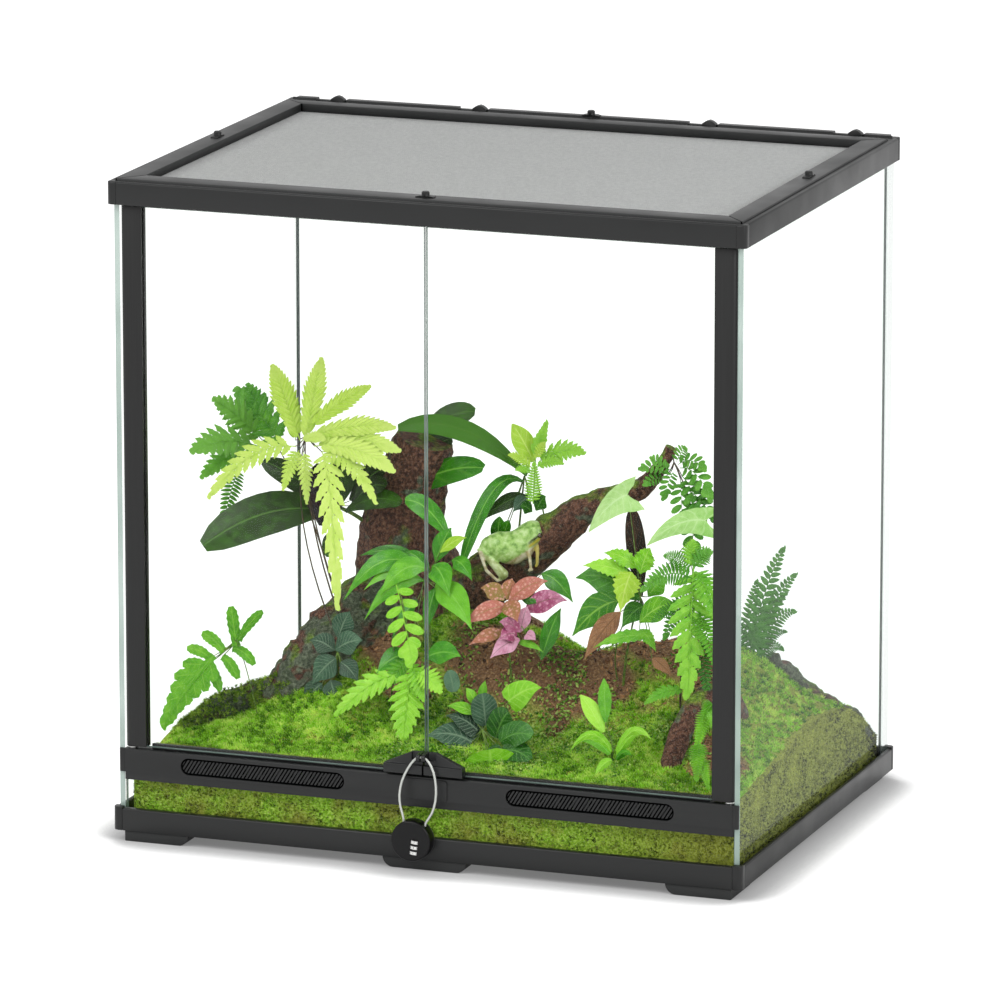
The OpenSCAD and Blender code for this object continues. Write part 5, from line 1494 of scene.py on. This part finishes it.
plants = {
    # slot, crown, stalks as (foot, bend, radius), leaves as (shape, kind, foot and tip from the
    # crown, width, bow, twist, tone)
    # most of these rows were worked out by another program and pasted in: they are data, not
    # design, and don't follow the frame
    "lime_fern": dict(
        slot="leaf_lime", crown=(-186, -34, 344), stalkKind=brownStalk,
        stalks=[((-127, -66), (-182, -52, 262), 0.9), ((-134, -68), (-200, -50, 262), 0.8),
                ((-130, -60), (-186, -46, 288), 0.8)],
        leaves=[
            ("lime", "lime", (-6, 2, -5), (-39, 18, 58), 26, 2, 0, 0.55),
            ("lime", "lime", (-12, 6, -6), (-23, 18, 36), 19, 2, 8, 0.25),
            ("lime", "lime", (0, 0, -4), (10, 14, 69), 23, 2, 0, 0.60),
            ("lime", "lime", (4, 0, 8), (59, 8, 49), 20, 3, 0, 0.50),
            ("lime", "lime", (7, -2, 1), (86, 0, 15), 23, 5, -8, 0.70),
            ("lime", "lime", (10, -4, -4), (94, -8, -4), 23, 6, 0, 0.80),
            ("lime", "lime", (12, -8, -7), (94, -22, -20), 26, 9, 0, 0.85),
            ("limeDeep", "lime", (20, -10, -11), (80, -28, -50), 23, 14, 0, 0.70),
            ("limeDeep", "lime", (21, -12, -11), (51, -50, -145), 30, 34, 0, 0.75),
            ("limeDeep", "lime", (-7, -6, -9), (-80, -36, -56), 26, 16, 0, 0.65),
            ("limeDeep", "lime", (-3, -8, -12), (-13, -22, -47), 18, 5, 0, 0.60),
            ("limeDeep", "lime", (2, -10, -13), (11, -24, -57), 16, 5, 0, 0.75),
            ("lime", "lime", (-1, -6, -3), (24, -12, 1), 13, 3, 0, 1.0),
        ],
    ),
    "green_fern": dict(
        slot="leaf_green", crown=(-242, 24, 326), stalkKind=brownStalk,
        stalks=[((-168, 20), (-196, 26, 260), 0.9)],
        leaves=[
            ("broad", "fern", (16, -10, -5), (-39, 8, 40), 40, 4, 0, 0.55),
            ("broad", "fern", (-2, -4, 8), (-29, 12, 45), 25, 3, 0, 0.40),
            ("broad", "fern", (-8, -4, -2), (-41, -39, 40), 32, 4, -6, 0.80),
            ("broad", "fern", (-11, -6, -8), (-40, -92, 3), 36, 8, 0, 0.85),
            ("broad", "fern", (-18, -10, -13), (-41, -68, -26), 25, 6, 0, 0.75),
            ("boston", "fern", (-27, -16, -29), (-40, -26, -88), 21, 6, 0, 0.60),
            ("broad", "fresh", (7, -6, 3), (-20, 0, 20), 23, 4, 0, 0.30),
        ],
    ),
    "dark_leaf_plant": dict(
        slot="leaf_dark", crown=(-168, -8, 275), stalkKind=greenStalk,
        stalks=[((-135, 10, 246), (-140, 4, 262), 2.6), ((-95, 20, 312), (-96, 22, 326), 2.4)],
        leaves=[
            ("strap", "glossy", (0, 0, -7), (-114, -40, -39), 42, 16, 4, 0.45),
            ("strap", "glossy", (-5, 2, -4), (-75, 12, 33), 24, 6, 0, 0.30),
            ("strap", "cup", (-7, -14, -17), (-9, -8, 40), 32, 0, 0, 0.30),
            ("strap", "glossy", (3, -10, -21), (3, -22, -44), 16, 2, 0, 0.45),
            ("strap", "cup", (9, -8, -2), (-24, -12, 17), 25, 4, 0, 0.60),
            ("strap", "glossy", (6, -6, -1), (8, 4, 44), 27, 4, 10, 0.35),
            ("strap", "glossy", (13, -6, -4), (73, -20, 12), 19, 8, 0, 0.50),
            ("strap", "glossy", (15, 2, 5), (55, 10, 39), 25, 8, -14, 0.15),
            ("strap", "glossy", (19, -4, 2), (56, -14, 25), 19, 8, 0, 0.20),
        ],
        second=dict(crown=(-118, 26, 286), leaves=[
            ("strap", "glossy", (-4, -6, -1), (51, 4, 52), 25, 8, 0, 0.30),
            ("strap", "orchid", (10, -12, 1), (95, -32, 35), 28, 8, -6, 0.25),
            ("strap", "glossy", (20, 4, 47), (70, 14, 76), 23, 8, 0, 0.55),
            ("strap", "cup", (-2, -10, 4), (-23, -22, -7), 17, 5, 0, 0.30),
        ]),
    ),
    "strap_leaf_plant": dict(
        slot="leaf_green", crown=(7, 21, 310), stalkKind=greenStalk,
        stalks=[((2, 15, 240), (4, 16, 266), 1.3)],
        leaves=[
            ("strap", "glossy", (5, -7, 3), (-114, -25, 42), 23, 20, 10, 0.90),
            ("strap", "orchid", (3, -11, -3), (-40, -59, -75), 14, 30, 0, 0.25),
            ("oval", "glossy", (9, -15, -15), (-28, -37, -37), 15, 6, 0, 0.35),
            ("oval", "teal", (11, -21, -15), (2, -35, -26), 14, 2, 0, 0.50),
            ("oval", "fern", (21, -27, -25), (33, -35, -9), 15, 2, 0, 0.10),
            ("tongue", "orchid", (-16, -29, -60), (-12, -33, -32), 14, 2, 0, 0.20),
            ("tongue", "orchid", (-10, -29, -53), (-3, -33, -35), 9, 2, 0, 0.25),
            ("oval", "fern", (18, -29, -26), (10, -39, -19), 13, 2, 0, 0.05),
        ],
    ),
    "top_fern": dict(
        slot="leaf_green", crown=(25, -2, 329), stalkKind=greenStalk,
        stalks=[((36, 4, 262), (30, 0, 294), 0.9)],
        leaves=[
            ("tongue", "lime", (0, -2, 1), (-20, -4, 35), 20, 2, 0, 0.20),
            ("lobed", "fresh", (2, -4, 5), (14, -6, 40), 14, 2, 0, 0.80),
            ("broad", "fresh", (5, -4, 1), (52, -12, 16), 24, 6, 0, 0.85),
            ("broad", "fresh", (4, -6, -4), (33, -16, 5), 13, 4, 0, 0.90),
            ("broad", "lime", (0, -6, -4), (-21, -10, 7), 12, 3, 0, 0.30),
            ("broad", "fresh", (0, -8, -7), (-12, -16, -5), 10, 2, 0, 0.80),
            ("broad", "lime", (4, -8, 4), (14, -12, 22), 11, 2, 0, 0.40),
            ("boston", "fresh", (3, -12, -36), (2, -6, 2), 18, 0, 0, 0.85),
        ],
    ),
    "orchid_leaf_plant": dict(
        slot="leaf_green", crown=(-58, -66, 228), stalkKind=greenStalk,
        stalks=[((-52, -62), (-56, -64, 208), 1.5)],
        leaves=[
            ("oval", "orchid", (-3, 6, 10), (-64, 4, 15), 14, 9, 0, 0.25),
            ("oval", "orchid", (-5, 2, 7), (-70, -22, -21), 20, 22, 0, 0.50),
            ("oval", "orchid", (-4, 0, 6), (-52, -18, -11), 14, 10, 10, 0.80),
            ("oval", "orchid", (4, -2, 9), (-34, -26, -14), 21, 13, 0, 0.70),
            ("oval", "orchid", (1, -4, -1), (-46, -32, -35), 16, 14, 0, 0.65),
            ("oval", "orchid", (9, -4, 13), (33, -24, -9), 23, 8, 0, 0.55),
            ("oval", "orchid", (13, -6, -3), (60, -38, -34), 27, 9, 0, 0.80),
            ("oval", "orchid", (14, -8, -6), (10, -26, -47), 14, 6, 0, 0.40),
            ("oval", "orchid", (25, 4, 18), (50, -10, 4), 16, 6, 0, 0.50),
            ("oval", "lime", (13, 6, 24), (40, 2, 41), 11, 3, 0, 0.10),
            ("oval", "orchid", (8, 8, 14), (21, 14, 46), 18, 4, 0, 0.35),
            ("strap", "orchid", (19, 16, 34), (-27, 22, 66), 19, 10, 0, 0.40),
            ("oval", "orchid", (17, -42, -63), (56, -56, -55), 22, 5, 0, 0.45),
            ("oval", "orchid", (-2, -38, -64), (-27, -52, -79), 21, 6, 0, 0.40),
            ("oval", "orchid", (-3, -10, -18), (-22, -26, -53), 11, 5, 0, 0.30),
            ("oval", "orchid", (5, 0, 6), (-23, 8, 21), 13, 5, 0, 0.30),
        ],
    ),
    "red_leaf_plant": dict(
        slot="leaf_red", crown=(26, -74, 211), stalkKind=greenStalk,
        stalks=[((25, -62), (24, -70, 180), 1.0)],
        leaves=[
            ("oval", "salmon", (0, -2, 1), (-36, -20, -16), 17, 4, 0, 0.60),
            ("oval", "salmon", (0, 0, 4), (37, 2, 26), 18, 5, 0, 0.60),
            ("oval", "salmon", (-1, -4, 5), (17, -22, -8), 18, 3, 0, 0.30),
            ("oval", "salmon", (-4, 0, 5), (-26, -2, 15), 17, 4, 0, 0.15),
            ("oval", "salmon", (-2, 2, 5), (1, 8, 24), 14, 3, 0, 0.30),
            ("oval", "red", (16, -2, -4), (59, -8, 12), 21, 6, 0, 0.50),
            ("oval", "red", (15, -10, -21), (22, -10, 4), 14, 3, 0, 0.80),
            ("oval", "red", (16, -12, -20), (0, -24, -9), 14, 3, 0, 0.50),
            ("oval", "red", (14, -14, -22), (3, -30, -24), 17, 3, 0, 0.45),
            ("oval", "red", (17, -16, -26), (-5, -34, -41), 18, 4, 0, 0.75),
            ("oval", "salmon", (0, -10, -22), (-29, -24, -33), 13, 3, 0, 0.35),
            ("heart", "red", (23, -16, -20), (35, -24, -23), 11, 1, 0, 1.0),
            ("oval", "orchid", (34, -6, -46), (50, 2, 2), 16, 5, 0, 0.30),
            ("oval", "orchid", (24, 22, 27), (57, 14, 5), 20, 6, 0, 0.35),
            ("oval", "fresh", (12, -12, -30), (43, -26, -33), 7, 3, 0, 0.50),
            ("oval", "fern", (10, 4, 7), (34, -4, 6), 13, 3, 0, 0.10),
        ],
    ),
    "maidenhair_fern": dict(
        slot="leaf_lime", crown=(-63, -110, 217), stalkKind=greenStalk,
        stalks=[((-76, -104), (-74, -106, 190), 0.8)],
        leaves=[
            ("opposed", "bright", (-8, 6, 13), (14, -12, -55), 34, 4, 0, 0.55),
            ("broad", "bright", (6, -2, -66), (-54, -24, -105), 26, 9, 0, 0.60),
            ("broad", "bright", (11, -4, -61), (12, -30, -124), 36, 6, 0, 0.55),
            ("broad", "bright", (13, -4, -65), (45, -20, -76), 26, 4, 0, 0.70),
            ("broad", "bright", (8, -2, -58), (28, -18, -86), 21, 4, 0, 0.45),
            ("broad", "fresh", (9, 0, -55), (-14, -10, -82), 21, 5, 0, 0.35),
        ],
    ),
    "lobed_leaf_plant": dict(
        slot="leaf_lime", crown=(-224, -112, 167), stalkKind=greenStalk,
        stalks=[((-206, -104), (-216, -110, 150), 0.6)],
        leaves=[
            ("finger", "fresh", (2, 0, 0), (26, 0, 29), 10, 3, 0, 0.30),
            ("finger", "fresh", (0, 0, -6), (-5, 0, 31), 12, 2, 0, 0.35),
            ("finger", "fresh", (-12, 0, -12), (-33, -2, 4), 12, 3, 0, 0.45),
            ("finger", "fresh", (-23, -2, -20), (-47, -4, -11), 11, 3, 0, 0.50),
            ("finger", "fresh", (-4, 0, -8), (20, -6, -20), 11, 4, 0, 0.30),
            ("finger", "fresh", (-13, -2, -16), (5, -8, -34), 11, 3, 0, 0.35),
            ("finger", "fresh", (-27, -2, -25), (-13, -8, -47), 11, 3, 0, 0.40),
            ("lobed", "fresh", (-21, -2, -16), (-59, -32, -78), 38, 5, 0, 0.45),
        ],
    ),
    "vein_leaf_plant": dict(
        slot="leaf_dark", crown=(-132, -94, 159), stalkKind=greenStalk,
        stalks=[((-134, -88), (-134, -90, 158), 1.0)],
        leaves=[
            ("oval", "teal", (-1, 4, 12), (9, 8, 37), 21, 3, 0, 0.40),
            ("oval", "teal", (-2, 0, 2), (25, -2, 14), 23, 3, 0, 0.50),
            ("oval", "teal", (-1, -2, -5), (-22, -8, -30), 25, 3, 0, 0.45),
            ("oval", "teal", (4, -4, -8), (24, -10, -23), 19, 3, 0, 0.30),
            ("oval", "teal", (-4, 2, 1), (-29, 4, 8), 21, 3, 0, 0.25),
            ("oval", "teal", (-5, -6, -25), (3, -12, -47), 19, 3, 0, 0.35),
            ("oval", "teal", (-13, -6, -29), (-30, -10, -51), 19, 3, 0, 0.30),
        ],
    ),
    "arrow_leaf_plant": dict(
        slot="leaf_green", crown=(146, -58, 227), stalkKind=greenStalk,
        stalks=[((128, -50), (130, -54, 170), 1.2), ((122, -46), (112, -52, 180), 0.7)],
        leaves=[
            ("arrow", "pale", (-13, 4, 92), (-46, -8, 57), 34, 6, 20, 0.75),
            ("arrow", "pale", (63, 0, 75), (11, -12, 50), 29, 8, -10, 0.60),
            ("strap", "brown", (-1, 8, -2), (-11, 10, 78), 18, 0, 0, 0.0),
            ("oval", "fern", (1, -2, -3), (-59, -6, 13), 34, 10, 0, 0.35),
            ("frill", "bright", (-7, -8, 20), (-48, -18, 28), 17, 4, 0, 0.70),
            ("frill", "bright", (0, -6, 27), (-30, -12, 40), 17, 4, 0, 0.50),
            ("frill", "bright", (4, -10, 23), (14, -12, 48), 21, 3, 0, 0.45),
            ("frill", "lime", (-3, -14, 25), (-8, -30, -9), 27, 5, 0, 0.25),
            ("oval", "fresh", (-16, -12, -3), (-55, -26, -36), 29, 7, 0, 0.0),
            ("oval", "brown", (-12, -18, -12), (-41, -34, -55), 20, 4, 0, 0.75),
            ("frill", "fresh", (19, -22, -31), (-32, -34, -43), 13, 5, 0, 0.50),
            ("frill", "fresh", (7, -20, -26), (27, -32, -42), 13, 3, 0, 0.55),
            ("oval", "bright", (5, -14, -21), (42, -22, 1), 23, 5, 0, 0.25),
            ("oval", "fresh", (11, -8, 2), (31, -12, 20), 19, 4, 0, 0.40),
            ("oval", "brown", (21, -26, -50), (43, -36, -62), 12, 2, 0, 1.0),
            ("oval", "fern", (7, -8, -7), (-10, -20, -26), 19, 4, 0, 0.20),
        ],
    ),
    "post_fern": dict(
        slot="leaf_green", crown=(206, -88, 253), stalkKind=brownStalk,
        stalks=[((192, -78), (194, -84, 200), 1.1)],
        leaves=[
            ("limeDeep", "fresh", (0, 4, 12), (5, -24, -102), 44, 12, 0, 0.65),
            ("boston", "fern", (0, 0, 2), (-45, -10, -12), 25, 10, 0, 0.60),
            ("limeDeep", "fresh", (3, 2, 8), (27, -14, -29), 27, 6, 0, 0.50),
            ("boston", "fern", (-3, 2, 7), (-27, 0, 20), 21, 5, 0, 0.55),
            ("broad", "fern", (0, 4, 9), (17, 4, 27), 21, 4, 0, 0.60),
            ("boston", "fern", (2, -2, -17), (-21, -16, -53), 25, 8, 0, 0.35),
            ("boston", "fresh", (7, -4, -26), (29, -18, -74), 25, 5, 0, 0.30),
            ("broad", "fresh", (-2, 4, 12), (-3, 8, 35), 21, 2, 0, 0.60),
            ("boston", "fern", (-1, -4, -26), (-33, -14, -38), 19, 6, 0, 0.30),
            ("broad", "fresh", (-3, -12, -99), (-35, -24, -111), 14, 5, 0, 0.45),
            ("boston", "fern", (9, -4, -53), (21, -16, -105), 19, 4, 0, 0.15),
        ],
    ),
    "log_tip_fern": dict(
        slot="leaf_green", crown=(161, -8, 341), stalkKind=brownStalk,
        stalks=[((154, 0, 346), (158, -4, 350), 1.0)],
        leaves=[
            ("opposed", "fern", (-2, 0, -8), (-30, -8, -8), 15, 4, 0, 0.60),
            ("opposed", "fern", (-9, 0, -16), (-25, -10, -22), 13, 3, 0, 0.50),
            ("opposed", "fern", (3, -2, 1), (13, -4, 15), 15, 2, 0, 0.65),
            ("opposed", "fern", (5, -4, -1), (36, -16, -1), 17, 6, 0, 0.60),
            ("opposed", "fern", (7, -4, -4), (44, -22, -27), 21, 9, 0, 0.60),
            ("opposed", "fern", (10, -6, -11), (38, -26, -54), 23, 8, 0, 0.50),
            ("opposed", "fern", (9, -8, -14), (17, -26, -54), 21, 6, 0, 0.55),
            ("opposed", "fern", (21, -16, -30), (32, -36, -82), 21, 4, 0, 0.45),
            ("opposed", "fern", (1, -4, -8), (-4, -16, -32), 15, 4, 0, 0.50),
            ("opposed", "fern", (-4, 0, -11), (-22, -2, 2), 13, 3, 0, 0.70),
            ("opposed", "fern", (16, -12, -22), (48, -28, -44), 17, 5, 0, 0.35),
        ],
    ),
    "round_leaf_plant": dict(
        slot="leaf_dark", crown=(22, -132, 109), stalkKind=greenStalk,
        stalks=[((20, -122), (20, -128, 104), 1.1)],
        leaves=[
            ("round", "teal", (3, 2, 4), (0, 0, 34), 24, 3, 0, 0.50),
            ("heart", "teal", (-9, -2, -11), (-49, -12, -7), 30, 5, 0, 0.45),
            ("heart", "teal", (-11, -6, -20), (-41, -20, -30), 25, 4, 0, 0.40),
            ("heart", "teal", (-5, 2, -1), (-34, -2, 11), 19, 4, 0, 0.20),
            ("round", "round", (13, 0, -6), (26, -2, 20), 25, 4, 0, 0.25),
            ("round", "round", (19, -4, -8), (53, -14, 3), 24, 5, 0, 0.50),
            ("round", "round", (22, -8, -15), (54, -22, -17), 22, 4, 0, 0.30),
            ("round", "bright", (19, -24, -42), (17, -27, -10), 50, 3, 0, 0.50),
            ("heart", "bright", (23, 6, 27), (56, 2, 44), 26, 4, 0, 0.50),
            ("round", "teal", (-30, 8, 31), (-34, 6, 51), 14, 2, 0, 0.75),
            ("oval", "bright", (-7, 4, 13), (-33, -2, 20), 11, 3, 0, 0.30),
            ("oval", "bright", (-7, 6, 20), (-17, 4, 37), 10, 2, 0, 0.40),
            ("oval", "fresh", (-4, 6, 22), (1, 6, 45), 8, 2, 0, 0.50),
            ("round", "round", (-19, -2, -14), (-22, -18, -33), 19, 3, 0, 0.45),
            ("round", "round", (9, -8, -14), (23, -20, -28), 19, 3, 0, 0.15),
        ],
    ),
    "grass_plant": dict(
        slot="leaf_lime", crown=(156, -156, 107), stalkKind=greenStalk,
        stalks=[((152, -150), (153, -154, 108), 1.2)],
        leaves=[
            ("tongue", "bright", (-11, 4, 16), (-34, 6, 48), 15, 3, 0, 0.85),
            ("tongue", "orchid", (-10, 6, 25), (-13, 10, 64), 12, 2, 0, 0.70),
            ("blade", "bright", (-2, 0, 0), (-38, -10, -1), 10, 16, 0, 0.50),
            ("blade", "orchid", (-3, -2, -2), (-32, -6, 8), 8, 6, 0, 0.80),
            ("blade", "bright", (3, 0, 0), (39, -10, 17), 10, 14, 0, 0.60),
            ("blade", "bright", (4, -2, -3), (26, -4, 21), 8, 5, 0, 0.50),
            ("blade", "bright", (0, -4, -7), (-13, -16, -21), 10, 4, 0, 0.60),
            ("blade", "orchid", (4, -4, -6), (22, -14, 2), 7, 5, 0, 0.50),
        ],
    ),
    "side_fern": dict(
        slot="leaf_green", crown=(210, 66, 153), stalkKind=brownStalk,
        stalks=[((214, 62), (212, 64, 150), 1.1)],
        leaves=[
            ("boston", "fern", (0, 0, 0), (24, 26, 93), 23, 12, 0, 0.45),
            ("boston", "fern", (2, 0, -6), (36, 26, 69), 21, 12, 0, 0.40),
            ("boston", "fern", (3, -2, -11), (36, 26, 33), 21, 14, 0, 0.35),
            ("boston", "fern", (5, -4, -16), (25, 24, -4), 19, 12, 0, 0.30),
            ("boston", "fern", (2, -6, -8), (25, 12, -63), 23, 12, 0, 0.25),
            ("boston", "fern", (-4, 0, -5), (2, 14, 63), 19, 8, 0, 0.40),
            ("boston", "fern", (-4, -6, -10), (-1, -6, -65), 19, 8, 0, 0.20),
            ("boston", "fern", (-2, -6, -8), (-21, -2, 36), 19, 8, 0, 0.30),
            ("boston", "fern", (2, 0, -6), (28, 24, 51), 15, 10, 0, 0.30),
            ("boston", "fern", (4, -2, -14), (28, 24, 14), 15, 10, 0, 0.25),
        ],
    ),
    "sideFrond": dict(
        slot="leaf_green", nodes=(), crown=(218, 44, 146), stalkKind=brownStalk,
        stalks=[((216, 48), (217, 46, 140), 0.8)],
        leaves=[
            ("boston", "fern", (0, 0, 0), (28, -14, -31), 18, 8, 0, 0.30),
            ("boston", "fern", (-2, 0, 2), (8, -24, -28), 16, 8, 0, 0.20),
        ],
    ),
    "clubMoss": dict(
        slot="leaf_green", nodes=(), crown=(243, -148, 152), stalkKind=greenStalk,
        stalks=[((246, -130), (245, -140, 140), 0.8)],
        leaves=[
            ("moss", "bright", (0, 0, 0), (-5, -22, -33), 19, 3, 0, 0.30),
            ("moss", "bright", (-4, -18, -26), (2, -40, -56), 19, 2, 0, 0.20),
            ("moss", "bright", (2, -2, 0), (16, -24, -20), 15, 4, 0, 0.25),
            ("moss", "bright", (-2, -20, -40), (14, -42, -62), 15, 3, 0, 0.30),
            ("moss", "fresh", (4, 0, 6), (-4, -8, -12), 17, 3, 0, 0.45),
        ],
    ),
}


def growPlant(node, plant):
    stalks = []
    crown = plant["crown"]
    for foot, bend, radius in plant["stalks"]:
        if len(foot) == 2:
            foot = (*foot, ground(*foot) - 5)
        head = crown
        if "second" in plant and foot[2] > 300:
            head = plant["second"]["crown"]
        stalks.append(stalk([foot, bend, head], radius))
    leaves = []
    groups = [plant] + ([plant["second"]] if "second" in plant else [])
    for group in groups:
        for shape, kind, foot, tip, width, bow, twist, tone in group["leaves"]:
            start = [a + b for a, b in zip(group["crown"], foot)]
            end = [a + b for a, b in zip(group["crown"], tip)]
            leaf = layLeaf(shape, start, end, width, bow, twist + dice.uniform(-8, 8), tone)
            if Vector(foot).length > 9:
                middle = (Vector(start) + Vector(group["crown"])) / 2 + Vector((0, 4, -2))
                stalks.append(stalk([group["crown"], middle, start], 0.6))
            wear(leaf, leafKinds[kind])
            leaves.append(leaf)
    foliage = joinAll(leaves, node + "Leaves")
    applyModifier(foliage, "SOLIDIFY", thickness=0.45 * mm, offset=-1)
    stems = joinAll(stalks, node + "Stalks")
    wear(stems, plant["stalkKind"])
    piece = joinAll([foliage, stems], node + "Foliage")
    smoothBy(piece, 45)
    finishPiece(piece, node + "Foliage", "tank", plant["slot"], *plant.get("nodes", (node,)))


for plantNode, plantParts in plants.items():
    growPlant(plantNode, plantParts)
for spare in shapes.values():
    bpy.data.objects.remove(spare)
print("plants are grown")
